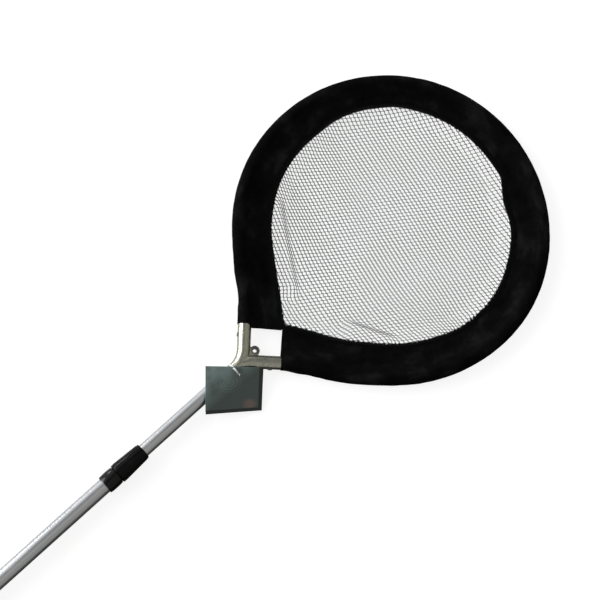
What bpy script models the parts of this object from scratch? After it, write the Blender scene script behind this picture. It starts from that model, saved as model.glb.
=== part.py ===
"""Koi pan net.

An aluminium hoop in a cloth sleeve carries a shallow knitted net. A Y-shaped yoke joins the hoop to a
telescopic pole, which a twist lock clamps. A folded tag hangs on the yoke's neck by a plastic tie.

The net lies flat: +X runs along the pole towards the hoop, +Z is up, and the origin is on the floor,
midway along the length. Sizes are in metres.
"""

import math

import bmesh
import bpy
from mathutils import Matrix, Vector

# Hoop and legs
HOOP_OUTER_DIAMETER = 0.600
HOOP_TUBE_DIAMETER = 0.022
HOOP_TUBE_WALL = 0.0012
CROTCH_GAP = 0.079
LEG_ANGLE = math.radians(45)
REVERSE_BEND_RADIUS = 0.300
CIRCLE_STEPS = 20
REVERSE_STEPS = 3

# Yoke
ARM_DIAMETER = 0.0254
ARM_LENGTH = 0.100
ARM_SOCKET_DEPTH = 0.068
ARM_BEND_RADIUS = 0.055
ARM_BEND_STEPS = 6
NECK_DIAMETER = 0.0260
NECK_START = 0.010
STEM_DIAMETER = 0.0292
STEM_START = 0.032
STEM_END = 0.080
STEM_SOCKET_DEPTH = 0.044
STEM_CHAMFER = 0.0012
EYE_REACH = 0.029
EYE_BOSS_DIAMETER = 0.019
EYE_HOLE_DIAMETER = 0.0075
EYE_THICKNESS = 0.009

# Rivets and pins
RIVET_SHANK_DIAMETER = 0.0048
RIVET_HEAD_DIAMETER = 0.0094
RIVET_HEAD_HEIGHT = 0.0014
RIVET_DOME_STEPS = 3
RIVET_TAIL_DIAMETER = 0.0068
RIVET_TAIL_LENGTH = 0.0022
RIVET_SIDES = 16
HOOP_RIVET_REACH = 0.050
STEM_PIN_DIAMETER = 0.004
STEM_PIN_REACH = 0.062

# Poles
INNER_POLE_DIAMETER = 0.025
INNER_POLE_LENGTH = 1.020
OUTER_POLE_DIAMETER = 0.0294
OUTER_POLE_LENGTH = 0.900
POLE_WALL = 0.0012
BUSH_LENGTH = 0.040
BUSH_LIP = 0.003
BUSH_LIP_BORE = 0.018

# Twist lock, measured from the nose of its nut towards the butt
LOCK_REACH = 0.249
NUT_LENGTH = 0.064
NUT_BASE_DIAMETER = 0.0384
NUT_NOSE_DIAMETER = 0.0314
NUT_RIBS = 20
NUT_RIB_HEIGHT = 0.0005
NUT_EDGE = 0.0007
NUT_MOUTH_LENGTH = 0.003
NUT_SHOULDER = 0.005
COLLET_FLANGE_DIAMETER = 0.0292
COLLET_FLANGE_LENGTH = 0.003
COLLET_NOSE_DIAMETER = 0.0286
COLLET_TAIL_DIAMETER = 0.0268
COLLET_LENGTH = 0.029
COLLET_SLIT = 0.0025
SNOUT_START = 0.024
SNOUT_DIAMETER = 0.0304
FERRULE_GROOVE = 0.0015
FERRULE_LENGTH = 0.029
FERRULE_END_DIAMETER = 0.0340
FERRULE_WAIST_DIAMETER = 0.0366
FERRULE_STEPS = 6
FERRULE_SEAT = 0.0011
THREAD_PITCH = 0.005
THREAD_HEIGHT = 0.0010
THREAD_ROOT_WIDTH = 0.0026
THREAD_CREST_WIDTH = 0.0012
THREAD_TURNS = 2
THREAD_STEPS = 18
THREAD_END = 0.056
THREAD_SINK = 0.0004
THREAD_CLEARANCE = 0.00045
LOCK_PIN_DIAMETER = 0.003
LOCK_PIN_PLACE = 0.080

# Butt end
GRIP_LENGTH = 0.180
GRIP_DIAMETER = 0.0352
GRIP_RINGS = 4
GRIP_RING_DEPTH = 0.0008
GRIP_ROUNDING = 0.002
GRIP_SIDES = 20
CAP_DIAMETER = 0.0340
CAP_THICKNESS = 0.004
CAP_PLUG_LENGTH = 0.022

# Cloth sleeve, hem and net, in the plane of the hoop
CLOTH = 0.0012
SLEEVE_END = 0.070
SLEEVE_SLACK = 0.0005
SLEEVE_ARM_SLACK = 0.0008
SLEEVE_SIDES = 12
FLAP_THICKNESS = 0.0024
FLAP_DROP = 0.0020
FLAP_ROOT = 0.009
FLAP_ROOT_THICKNESS = 0.0044
FLAP_END_GAP = 0.0009
BAND_WIDTH = 0.072
SEAM_SHIFT = Vector((0.0055, 0.0055))
SEAM_CORNER_REACH = 0.1055
SEAM_POINTS = 64
HEM_WIDTH = 0.013
HEM_CORNER_WIDTH = 0.010
MESH_THICKNESS = 0.0016
MESH_RIM = 0.0035
MESH_PITCH = 0.0390
MESH_STRAND = 0.0024
MESH_TURN = math.radians(20)
MESH_WALL_WIDTH = 0.024
MESH_LEAST_SHARE = 0.22

# Swing tag
TIE_REACH = 0.0245
TIE_WIDTH = 0.0036
TIE_THICKNESS = 0.0012
TIE_BULGE = 0.0062
TIE_POINTS = 30
TAG_WIDTH = 0.106
TAG_HEIGHT = 0.080
TAG_LEAF = 0.0005
TAG_GAP = 0.0005
TAG_BACK_SHORT = 0.004
TAG_TOP_PLACE = Vector((0.0004, 0.0006))
TAG_TURN = math.radians(44)
TAG_HOLE_DIAMETER = 0.0066
TAG_HOLE_SIDES = 20
TAG_LEAN = math.radians(21.05)

# Fits
FIT_GAP = 0.0003
SLIDE_GAP = 0.0002
CUT_PAST = 0.010
ROUND_SIDES = 24
LOCK_SIDES = 30
ARM_SIDES_RESOLUTION = 5
TUBE_SIDES_RESOLUTION = 3

# Places that follow from the sizes
AXIS_HEIGHT = NUT_BASE_DIAMETER / 2
FERRULE_START = NUT_LENGTH + FERRULE_GROOVE
FERRULE_END = FERRULE_START + FERRULE_LENGTH
OUTER_POLE_START = FERRULE_START + FERRULE_SEAT + FIT_GAP
OUTER_POLE_END = OUTER_POLE_START + OUTER_POLE_LENGTH
BUTT = OUTER_POLE_END + FIT_GAP + CAP_THICKNESS
CROTCH_REACH = HOOP_OUTER_DIAMETER / 2 + CROTCH_GAP
OVERALL_LENGTH = HOOP_OUTER_DIAMETER / 2 + CROTCH_REACH + LOCK_REACH + BUTT
X_HOOP = (OVERALL_LENGTH - HOOP_OUTER_DIAMETER) / 2
X_CROTCH = X_HOOP - CROTCH_REACH
X_LOCK = X_CROTCH - LOCK_REACH
INNER_POLE_SEAT = STEM_END - STEM_SOCKET_DEPTH + FIT_GAP
HOOP_RADIUS = HOOP_OUTER_DIAMETER / 2 - CLOTH - SLEEVE_SLACK - HOOP_TUBE_DIAMETER / 2
HOOP_TUBE_END = ARM_LENGTH - ARM_SOCKET_DEPTH + FIT_GAP
POLE_BORE = OUTER_POLE_DIAMETER / 2 - POLE_WALL
GUIDE_BORE = INNER_POLE_DIAMETER / 2 + SLIDE_GAP + FIT_GAP / 3
SEAM_RADIUS = HOOP_OUTER_DIAMETER / 2 - BAND_WIDTH
SEAM_CORNER = Vector((SEAM_CORNER_REACH - CROTCH_REACH, 0.0))
MESH_DROP = AXIS_HEIGHT - FLAP_DROP - MESH_THICKNESS / 2
FLOOR_INSET = MESH_RIM + MESH_WALL_WIDTH

for old in list(bpy.data.objects):
    bpy.data.objects.remove(old, do_unlink=True)


def new_collection(name):
    collection = bpy.data.collections.new(name)
    bpy.context.scene.collection.children.link(collection)
    return collection


PARTS = new_collection("koi_net")
CUTTERS = new_collection("cutters")


def new_material(name, colour, roughness, metallic=0.0):
    material = bpy.data.materials.new(name)
    material.use_nodes = True
    shader = material.node_tree.nodes["Principled BSDF"]
    shader.inputs["Base Color"].default_value = (*colour, 1.0)
    shader.inputs["Roughness"].default_value = roughness
    shader.inputs["Metallic"].default_value = metallic
    return material


def new_empty(name, place, parent=None, turn=(0.0, 0.0, 0.0)):
    empty = bpy.data.objects.new(name, None)
    empty.parent = parent
    empty.location = place
    empty.rotation_euler = turn
    PARTS.objects.link(empty)
    return empty


def new_object(name, data, parent=None, place=(0.0, 0.0, 0.0)):
    piece = bpy.data.objects.new(name, data)
    piece.parent = parent
    piece.location = place
    PARTS.objects.link(piece)
    return piece


def finish(piece, colour, roughness, metallic=0.0, sharp=35):
    """Gives a piece its own material and smooth shading."""
    piece.data.materials.clear()
    piece.data.materials.append(new_material(piece.name, colour, roughness, metallic))
    if piece.type == "MESH":
        piece.data.shade_smooth()
        piece.data.set_sharp_from_angle(angle=math.radians(sharp))
    return piece


def turned(name, profile, parent, place=(0.0, 0.0, 0.0), sides=ROUND_SIDES, along_pole=True):
    """A turned piece. Its profile lists (radius, height) down the outer side, then up a ring's bore."""
    ring = all(radius > 0 for radius, height in profile)
    count = len(profile)
    edges = [(i, (i + 1) % count) for i in range(count if ring else count - 1)]
    mesh = bpy.data.meshes.new(name)
    mesh.from_pydata([(radius, 0.0, height) for radius, height in profile], edges, [])
    piece = new_object(name, mesh, parent, place)
    screw = piece.modifiers.new("Turn", "SCREW")
    screw.axis = "Z"
    screw.steps = sides
    screw.render_steps = sides
    screw.use_merge_vertices = True
    screw.merge_threshold = 0.00001
    screw.use_smooth_shade = True
    if along_pole:
        piece.rotation_euler = (0.0, math.pi / 2, 0.0)
    return piece


def as_mesh(piece):
    """The piece again as a mesh, with its modifiers applied and its loose caps welded."""
    bpy.context.view_layer.update()
    seen = piece.evaluated_get(bpy.context.evaluated_depsgraph_get())
    mesh = bpy.data.meshes.new_from_object(seen)
    shape = bmesh.new()
    shape.from_mesh(mesh)
    bmesh.ops.remove_doubles(shape, verts=shape.verts, dist=0.00001)
    bmesh.ops.recalc_face_normals(shape, faces=shape.faces)
    shape.to_mesh(mesh)
    shape.free()
    name = piece.name
    piece.name = name + "_line"
    solid = new_object(name, mesh)
    solid.parent = piece.parent
    solid.matrix_parent_inverse = piece.matrix_parent_inverse.copy()
    solid.matrix_basis = piece.matrix_basis.copy()
    bpy.data.objects.remove(piece, do_unlink=True)
    return solid


def swept(name, points, radius, resolution, parent, caps=True):
    """A round bar along points, as a mesh."""
    curve = bpy.data.curves.new(name, "CURVE")
    curve.dimensions = "3D"
    curve.twist_mode = "Z_UP"
    curve.bevel_depth = radius
    curve.bevel_resolution = resolution
    curve.use_fill_caps = caps
    line = curve.splines.new("POLY")
    line.points.add(len(points) - 1)
    for point, spot in zip(line.points, points):
        point.co = (*spot, 1.0)
    return as_mesh(new_object(name, curve, parent))


def plate(name, outlines, thickness, parent):
    """A flat plate. The first outline is its edge, and the others are holes."""
    curve = bpy.data.curves.new(name, "CURVE")
    curve.dimensions = "2D"
    curve.fill_mode = "BOTH"
    curve.extrude = thickness / 2
    for outline in outlines:
        line = curve.splines.new("POLY")
        line.points.add(len(outline) - 1)
        line.use_cyclic_u = True
        for point, spot in zip(line.points, outline):
            point.co = (spot[0], spot[1], 0.0, 1.0)
    return as_mesh(new_object(name, curve, parent))


def rod(name, radius, start, end, parent, sides=ROUND_SIDES):
    """A straight bar from start to end."""
    start = Vector(start)
    along = Vector(end) - start
    mesh = bpy.data.meshes.new(name)
    shape = bmesh.new()
    bmesh.ops.create_cone(
        shape, cap_ends=True, segments=sides, radius1=radius, radius2=radius, depth=along.length
    )
    shape.to_mesh(mesh)
    shape.free()
    piece = new_object(name, mesh, parent, start + along / 2)
    piece.rotation_euler = along.to_track_quat("Z", "Y").to_euler()
    return piece


def combine(target, tool, operation="DIFFERENCE"):
    """Cuts the tool out of the target, or joins it on, and keeps the tool as a hidden guide."""
    change = target.modifiers.new(tool.name, "BOOLEAN")
    change.operation = operation
    change.object = tool
    tool.hide_render = True
    tool.display_type = "WIRE"
    if tool.name in PARTS.objects:
        PARTS.objects.unlink(tool)
        CUTTERS.objects.link(tool)


def leg_point(reach, side):
    """A point on a leg's axis, at that distance from the crotch."""
    return Vector((reach * math.cos(LEG_ANGLE), side * reach * math.sin(LEG_ANGLE), 0.0))


def leg_out(side):
    """The direction square to a leg, away from the hoop's inside."""
    return Vector((-math.sin(LEG_ANGLE), side * math.cos(LEG_ANGLE), 0.0))


def half_hoop():
    """Points and inward directions down one side of the hoop, from its far end to the straight leg."""
    foot = CROTCH_REACH * math.sin(LEG_ANGLE)
    sweep = math.acos((foot + REVERSE_BEND_RADIUS) / (HOOP_RADIUS + REVERSE_BEND_RADIUS))
    leave = math.pi - LEG_ANGLE + sweep
    line = []
    for step in range(CIRCLE_STEPS + 1):
        angle = leave * step / CIRCLE_STEPS
        out = Vector((math.cos(angle), math.sin(angle), 0.0))
        line.append((out * HOOP_RADIUS, -out))
    bend = line[-1][0] * (HOOP_RADIUS + REVERSE_BEND_RADIUS) / HOOP_RADIUS
    for step in range(1, REVERSE_STEPS + 1):
        angle = leave - sweep * step / REVERSE_STEPS
        out = Vector((math.cos(angle), math.sin(angle), 0.0))
        line.append((bend - out * REVERSE_BEND_RADIUS, -out))
    return line


def hoop_line(ends):
    """The whole hoop line about its centre. Ends are the last points on each leg, from the crotch."""
    crotch = Vector((-CROTCH_REACH, 0.0, 0.0))
    half = half_hoop() + [(crotch + leg_point(reach, 1), -leg_out(1)) for reach in ends]
    flip = Vector((1.0, -1.0, 1.0))
    other = [(spot * flip, inward * flip) for spot, inward in half[1:]]
    return list(reversed(half)) + other


def seam_radius(angle, width=0.0, corner_width=0.0):
    """The seam's distance from its centre: a circle, with straight runs to a corner near the crotch."""
    radius = SEAM_RADIUS + width
    to_corner = SEAM_CORNER - SEAM_SHIFT
    reach = to_corner.length + corner_width
    tangent = math.acos(radius / reach)
    away = angle - math.atan2(to_corner.y, to_corner.x)
    away = abs((away + math.pi) % (2 * math.pi) - math.pi)
    return radius if away > tangent else radius / math.cos(tangent - away)


def seam_outline(width=0.0, corner_width=0.0):
    to_corner = SEAM_CORNER - SEAM_SHIFT
    start = math.atan2(to_corner.y, to_corner.x)
    outline = []
    for step in range(SEAM_POINTS):
        angle = start + 2 * math.pi * step / SEAM_POINTS
        radius = seam_radius(angle, width, corner_width)
        outline.append(SEAM_SHIFT + radius * Vector((math.cos(angle), math.sin(angle))))
    return outline


def make_hoop(parent):
    spots = [spot for spot, inward in hoop_line((SLEEVE_END, HOOP_TUBE_END))]
    tube = swept(
        "hoop_tube", spots, HOOP_TUBE_DIAMETER / 2, TUBE_SIDES_RESOLUTION, parent, caps=False
    )
    wall = tube.modifiers.new("Wall", "SOLIDIFY")
    wall.thickness = HOOP_TUBE_WALL
    wall.offset = -1.0
    return finish(tube, (0.72, 0.73, 0.74), 0.28, 1.0)


def make_yoke(parent):
    yoke = turned(
        "yoke",
        [
            (0.0, -NECK_START),
            (NECK_DIAMETER / 2 - STEM_CHAMFER, -NECK_START),
            (NECK_DIAMETER / 2, -NECK_START - STEM_CHAMFER),
            (NECK_DIAMETER / 2, -STEM_START + STEM_CHAMFER),
            (STEM_DIAMETER / 2, -STEM_START),
            (STEM_DIAMETER / 2, -STEM_END + STEM_CHAMFER / 2),
            (STEM_DIAMETER / 2 - STEM_CHAMFER / 2, -STEM_END),
            (0.0, -STEM_END),
        ],
        parent,
    )
    lead = ARM_BEND_RADIUS * math.tan(LEG_ANGLE / 2)
    for side in (1, -1):
        line = []
        for step in range(1, ARM_BEND_STEPS + 1):
            angle = LEG_ANGLE * step / ARM_BEND_STEPS
            x = ARM_BEND_RADIUS * math.sin(angle) - lead
            y = ARM_BEND_RADIUS * (1 - math.cos(angle)) * side
            line.append(Vector((x, y, 0.0)))
        line.append(leg_point(ARM_LENGTH, side))
        arm = swept("yoke_arm", line, ARM_DIAMETER / 2, ARM_SIDES_RESOLUTION, parent)
        combine(yoke, arm, "UNION")
    eye = Vector((EYE_REACH, 0.0, 0.0))
    half = Vector((0.0, 0.0, EYE_THICKNESS / 2))
    boss = rod("yoke_boss", EYE_BOSS_DIAMETER / 2, eye - half, eye + half, parent)
    combine(yoke, boss, "UNION")
    hole = rod("eye_hole", EYE_HOLE_DIAMETER / 2, eye - 2 * half, eye + 2 * half, parent)
    combine(yoke, hole)
    for side in (1, -1):
        bore = rod(
            "arm_bore",
            HOOP_TUBE_DIAMETER / 2 + FIT_GAP,
            leg_point(ARM_LENGTH - ARM_SOCKET_DEPTH, side),
            leg_point(ARM_LENGTH + CUT_PAST, side),
            parent,
        )
        combine(yoke, bore)
    socket = rod(
        "stem_bore",
        INNER_POLE_DIAMETER / 2 + FIT_GAP,
        (-STEM_END - CUT_PAST, 0.0, 0.0),
        (STEM_SOCKET_DEPTH - STEM_END, 0.0, 0.0),
        parent,
    )
    combine(yoke, socket)
    return finish(yoke, (0.70, 0.71, 0.72), 0.30, 1.0)


def make_rivet(name, parent, base, out, seat, inner, holders):
    """A blind rivet along out, its head on a round of radius seat and its tail in a bore of radius inner."""
    shank = RIVET_SHANK_DIAMETER / 2
    head = RIVET_HEAD_DIAMETER / 2
    tail = RIVET_TAIL_DIAMETER / 2
    under = seat + FIT_GAP
    lip = math.sqrt(inner**2 - tail**2) - FIT_GAP
    top = under + RIVET_HEAD_HEIGHT
    turns = [math.pi / 2 * step / RIVET_DOME_STEPS for step in range(1, RIVET_DOME_STEPS)]
    dome = [(head * math.sin(a), under + RIVET_HEAD_HEIGHT * math.cos(a)) for a in turns]
    rivet = turned(
        name,
        [
            (0.0, top),
            *dome,
            (head, under),
            (shank, under),
            (shank, lip),
            (tail, lip - (tail - shank)),
            (tail, lip - RIVET_TAIL_LENGTH),
            (0.0, lip - RIVET_TAIL_LENGTH),
        ],
        parent,
        base,
        sides=RIVET_SIDES,
        along_pole=False,
    )
    rivet.rotation_euler = out.to_track_quat("Z", "Y").to_euler()
    for holder in holders:
        start = base + out * (lip - RIVET_TAIL_LENGTH)
        hole = rod(name + "_hole", shank + FIT_GAP, start, base + out * top, parent, sides=RIVET_SIDES)
        combine(holder, hole)
    return finish(rivet, (0.62, 0.63, 0.64), 0.35, 1.0)


def make_inner_pole(parent):
    outer = INNER_POLE_DIAMETER / 2
    inner = outer - POLE_WALL
    tube = turned(
        "inner_pole",
        [(outer, 0.0), (outer, -INNER_POLE_LENGTH), (inner, -INNER_POLE_LENGTH), (inner, 0.0)],
        parent,
        (-INNER_POLE_SEAT, 0.0, 0.0),
    )
    return finish(as_mesh(tube), (0.72, 0.73, 0.75), 0.25, 1.0)


def make_guide_bush(parent):
    bore = INNER_POLE_DIAMETER / 2 + SLIDE_GAP
    outer = POLE_BORE - SLIDE_GAP
    floor = -BUSH_LENGTH - FIT_GAP
    bush = turned(
        "guide_bush",
        [
            (outer, 0.0),
            (outer, floor - BUSH_LIP),
            (BUSH_LIP_BORE / 2, floor - BUSH_LIP),
            (BUSH_LIP_BORE / 2, floor),
            (bore, floor),
            (bore, 0.0),
        ],
        parent,
    )
    return finish(bush, (0.85, 0.85, 0.82), 0.45)


def make_outer_pole(parent):
    outer = OUTER_POLE_DIAMETER / 2
    tube = turned(
        "outer_pole",
        [
            (outer, -OUTER_POLE_START),
            (outer, -OUTER_POLE_END),
            (POLE_BORE, -OUTER_POLE_END),
            (POLE_BORE, -OUTER_POLE_START),
        ],
        parent,
    )
    return finish(tube, (0.72, 0.73, 0.75), 0.25, 1.0)


def thread(name, parent, grow, turns, end):
    """The helical ridge on the snout, or its groove, grown by a clearance. It climbs from end to the nose."""
    root = SNOUT_DIAMETER / 2 - THREAD_SINK
    crest = SNOUT_DIAMETER / 2 + THREAD_HEIGHT + grow
    root_half = THREAD_ROOT_WIDTH / 2 + grow
    crest_half = THREAD_CREST_WIDTH / 2 + grow
    profile = [(root, -root_half), (crest, -crest_half), (crest, crest_half), (root, root_half)]
    mesh = bpy.data.meshes.new(name)
    mesh.from_pydata([(x, 0.0, z) for x, z in profile], [(0, 1), (1, 2), (2, 3), (3, 0)], [])
    ridge = new_object(name, mesh, parent)
    screw = ridge.modifiers.new("Helix", "SCREW")
    screw.axis = "Z"
    screw.steps = THREAD_STEPS
    screw.render_steps = THREAD_STEPS
    screw.iterations = turns
    screw.screw_offset = THREAD_PITCH
    solid = as_mesh(ridge)
    shape = bmesh.new()
    shape.from_mesh(solid.data)
    ends = [edge for edge in shape.edges if edge.is_boundary]
    bmesh.ops.holes_fill(shape, edges=ends, sides=0)
    bmesh.ops.recalc_face_normals(shape, faces=shape.faces)
    shape.to_mesh(solid.data)
    shape.free()
    solid.rotation_euler = (0.0, math.pi / 2, 0.0)
    solid.location = (-end, 0.0, 0.0)
    return solid


def collet_radius(depth):
    """The collet's outer radius along its taper."""
    start = NUT_SHOULDER + FIT_GAP + COLLET_FLANGE_LENGTH
    end = NUT_SHOULDER + FIT_GAP + COLLET_LENGTH
    share = (depth - start) / (end - start)
    return (COLLET_NOSE_DIAMETER + (COLLET_TAIL_DIAMETER - COLLET_NOSE_DIAMETER) * share) / 2


def make_lock_body(parent):
    snout = SNOUT_DIAMETER / 2
    taper_end = NUT_SHOULDER + COLLET_LENGTH + 3 * FIT_GAP
    tube_seat = OUTER_POLE_DIAMETER / 2 + FIT_GAP
    shoulder = FERRULE_START + FERRULE_SEAT
    end_round = (FERRULE_WAIST_DIAMETER - FERRULE_END_DIAMETER) / 2
    profile = [
        (collet_radius(SNOUT_START) + FIT_GAP, -SNOUT_START),
        (snout - NUT_EDGE, -SNOUT_START),
        (snout, -SNOUT_START - NUT_EDGE),
        (snout, -FERRULE_START),
        (FERRULE_END_DIAMETER / 2, -FERRULE_START),
    ]
    for step in range(1, FERRULE_STEPS):
        angle = math.pi * step / FERRULE_STEPS
        radius = FERRULE_END_DIAMETER / 2 + end_round * math.sin(angle)
        profile.append((radius, -FERRULE_START - FERRULE_LENGTH * (1 - math.cos(angle)) / 2))
    profile += [
        (FERRULE_END_DIAMETER / 2 - NUT_EDGE / 2, -FERRULE_END),
        (tube_seat, -FERRULE_END),
        (tube_seat, -shoulder),
        (GUIDE_BORE, -shoulder),
        (GUIDE_BORE, -taper_end - COLLET_FLANGE_LENGTH / 2),
        (collet_radius(taper_end) + FIT_GAP, -taper_end),
    ]
    body = turned("lock_body", profile, parent, sides=LOCK_SIDES)
    ridge = thread("lock_thread", parent, 0.0, THREAD_TURNS, THREAD_END)
    combine(body, ridge, "UNION")
    return finish(body, (0.018, 0.018, 0.020), 0.25)


def make_pin(name, diameter, parent, spot, out, inner, outer, holders):
    """A flush pin along out, from a bore of radius inner to a round of radius outer."""
    radius = diameter / 2
    start = spot + out * (inner + FIT_GAP)
    pin = rod(name, radius, start, spot + out * (outer - FIT_GAP), parent, sides=RIVET_SIDES)
    for holder in holders:
        end = spot + out * 2 * outer
        hole = rod(name + "_hole", radius + FIT_GAP, spot, end, parent, sides=RIVET_SIDES)
        combine(holder, hole)
    return finish(pin, (0.55, 0.56, 0.57), 0.35, 1.0)


def make_collet(parent):
    start = NUT_SHOULDER + FIT_GAP
    flange = start + COLLET_FLANGE_LENGTH
    end = start + COLLET_LENGTH
    bore = INNER_POLE_DIAMETER / 2 + SLIDE_GAP
    collet = turned(
        "lock_collet",
        [
            (COLLET_FLANGE_DIAMETER / 2, -start),
            (COLLET_FLANGE_DIAMETER / 2, -flange),
            (collet_radius(flange), -flange),
            (collet_radius(end), -end),
            (bore, -end),
            (bore, -start),
        ],
        parent,
        sides=LOCK_SIDES,
    )
    slit = new_object("collet_slit", bpy.data.meshes.new("collet_slit"), parent)
    shape = bmesh.new()
    bmesh.ops.create_cube(shape, size=1.0)
    shape.to_mesh(slit.data)
    shape.free()
    slit.data.transform(Matrix.Diagonal((COLLET_LENGTH * 2, COLLET_SLIT, COLLET_FLANGE_DIAMETER, 1.0)))
    slit.location = (-(start + end) / 2, 0.0, -COLLET_FLANGE_DIAMETER / 2)
    combine(collet, slit)
    return finish(collet, (0.80, 0.80, 0.77), 0.5)


def make_nut(parent):
    mesh = bpy.data.meshes.new("lock_nut")
    shape = bmesh.new()
    bmesh.ops.create_cone(
        shape,
        cap_ends=True,
        segments=2 * NUT_RIBS,
        radius1=NUT_BASE_DIAMETER / 2,
        radius2=NUT_NOSE_DIAMETER / 2,
        depth=NUT_LENGTH,
    )
    for point in shape.verts:
        turn = math.atan2(point.co.y, point.co.x) / (math.pi / NUT_RIBS)
        if round(turn) % 2:
            radius = point.co.xy.length
            point.co.xy *= (radius - NUT_RIB_HEIGHT) / radius
    shape.to_mesh(mesh)
    shape.free()
    mesh.transform(Matrix.Translation((0.0, 0.0, -NUT_LENGTH / 2)))
    nut = new_object("lock_nut", mesh, parent)
    nut.rotation_euler = (0.0, math.pi / 2, 0.0)
    rim = nut.modifiers.new("Rim", "BEVEL")
    rim.width = NUT_EDGE
    rim.segments = 1
    rim.limit_method = "ANGLE"
    rim.angle_limit = math.radians(50)
    snout_bore = SNOUT_DIAMETER / 2 + THREAD_CLEARANCE
    collet_bore = COLLET_FLANGE_DIAMETER / 2 + FIT_GAP
    mouth = snout_bore + THREAD_HEIGHT + THREAD_CLEARANCE
    step = SNOUT_START - 2 * FIT_GAP - THREAD_PITCH / 4
    bore = turned(
        "nut_bore",
        [
            (0.0, NUT_LENGTH),
            (GUIDE_BORE, NUT_LENGTH),
            (GUIDE_BORE, -NUT_SHOULDER),
            (collet_bore, -NUT_SHOULDER),
            (collet_bore, -step),
            (snout_bore, -step),
            (snout_bore, -NUT_LENGTH + NUT_MOUTH_LENGTH),
            (mouth, -NUT_LENGTH + NUT_MOUTH_LENGTH / 2),
            (mouth, -2 * NUT_LENGTH),
            (0.0, -2 * NUT_LENGTH),
        ],
        parent,
        sides=LOCK_SIDES,
    )
    combine(nut, bore)
    groove = thread(
        "nut_groove", parent, THREAD_CLEARANCE, THREAD_TURNS + 2, THREAD_END + THREAD_PITCH
    )
    combine(nut, groove)
    return finish(nut, (0.020, 0.020, 0.022), 0.22)


def make_grip(parent):
    bore = OUTER_POLE_DIAMETER / 2 + FIT_GAP
    outer = GRIP_DIAMETER / 2
    start = OUTER_POLE_END - GRIP_LENGTH
    profile = [(bore, -start), (outer - GRIP_ROUNDING, -start), (outer, -start - GRIP_ROUNDING)]
    pitch = (GRIP_LENGTH - 2 * GRIP_ROUNDING) / (GRIP_RINGS + 1)
    for ring in range(1, GRIP_RINGS + 1):
        middle = start + GRIP_ROUNDING + ring * pitch
        profile += [
            (outer, -middle + 2 * GRIP_RING_DEPTH),
            (outer - GRIP_RING_DEPTH, -middle),
            (outer, -middle - 2 * GRIP_RING_DEPTH),
        ]
    profile += [
        (outer, -OUTER_POLE_END + GRIP_ROUNDING),
        (outer - GRIP_ROUNDING / 2, -OUTER_POLE_END),
        (bore, -OUTER_POLE_END),
    ]
    grip = turned("hand_grip", profile, parent, sides=GRIP_SIDES)
    return finish(grip, (0.030, 0.030, 0.032), 0.85)


def make_cap(parent):
    outer = CAP_DIAMETER / 2
    plug = POLE_BORE - FIT_GAP
    seat = OUTER_POLE_END + FIT_GAP
    edge = CAP_THICKNESS / 4
    cap = turned(
        "end_cap",
        [
            (0.0, -seat + CAP_PLUG_LENGTH),
            (plug - edge, -seat + CAP_PLUG_LENGTH),
            (plug, -seat + CAP_PLUG_LENGTH - edge),
            (plug, -seat),
            (outer, -seat),
            (outer, -BUTT + edge),
            (outer - edge, -BUTT),
            (0.0, -BUTT),
        ],
        parent,
    )
    return finish(cap, (0.022, 0.022, 0.024), 0.45)


def flap_end(spot, inward):
    """How far the flap runs inward from the hoop's line to the hem."""
    near, far = 0.0, HOOP_RADIUS
    while far - near > 0.00001:
        middle = (near + far) / 2
        place = (spot + inward * middle).xy - SEAM_SHIFT
        hem = seam_radius(math.atan2(place.y, place.x), HEM_WIDTH, HEM_CORNER_WIDTH)
        near, far = (middle, far) if place.length > hem else (near, middle)
    return near - FLAP_END_GAP


def make_sleeve(parent):
    """A cloth pocket round the hoop's tube with a flap on its inner side, lofted along the hoop."""
    tube_bore = HOOP_TUBE_DIAMETER / 2 + SLEEVE_SLACK
    arm_bore = ARM_DIAMETER / 2 + SLEEVE_ARM_SLACK
    crotch = Vector((-CROTCH_REACH, 0.0, 0.0))
    mesh = bpy.data.meshes.new("net_sleeve")
    shape = bmesh.new()
    outers, bores = [], []
    for spot, inward in hoop_line((ARM_LENGTH + FIT_GAP, SLEEVE_END)):
        on_arm = (spot - crotch).length < ARM_LENGTH + 2 * FIT_GAP
        bore = arm_bore if on_arm else tube_bore
        width = flap_end(spot, inward)
        turns = [2 * math.pi * i / SLEEVE_SIDES for i in range(SLEEVE_SIDES)]
        round_way = [inward * math.cos(a) + Vector((0.0, 0.0, math.sin(a))) for a in turns]
        tip = spot + inward * width
        root = spot + inward * (bore + CLOTH + FLAP_ROOT)
        lows, highs = (
            [
                root + Vector((0.0, 0.0, side * FLAP_ROOT_THICKNESS / 2 - FLAP_DROP)),
                tip + Vector((0.0, 0.0, side * FLAP_THICKNESS / 2 - FLAP_DROP)),
            ]
            for side in (-1, 1)
        )
        pocket = [spot + way * (bore + CLOTH) for way in round_way[1:]]
        outer = lows + highs[::-1] + pocket
        outers.append([shape.verts.new(place) for place in outer])
        bores.append([shape.verts.new(spot + way * bore) for way in round_way])
    for rings in (outers, bores):
        for here, there in zip(rings, rings[1:]):
            count = len(here)
            for i in range(count):
                j = (i + 1) % count
                shape.faces.new((here[i], here[j], there[j], there[i]))
    for outer, bore in ((outers[0], bores[0]), (outers[-1], bores[-1])):
        pocket = outer[4:]
        for i in range(SLEEVE_SIDES - 2):
            shape.faces.new((pocket[i], pocket[i + 1], bore[i + 2], bore[i + 1]))
        shape.faces.new((pocket[-1], *outer[:5], bore[1], bore[0], bore[-1]))
    bmesh.ops.recalc_face_normals(shape, faces=shape.faces)
    shape.to_mesh(mesh)
    shape.free()
    return finish(new_object("net_sleeve", mesh, parent), (0.012, 0.012, 0.013), 0.9)


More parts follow.
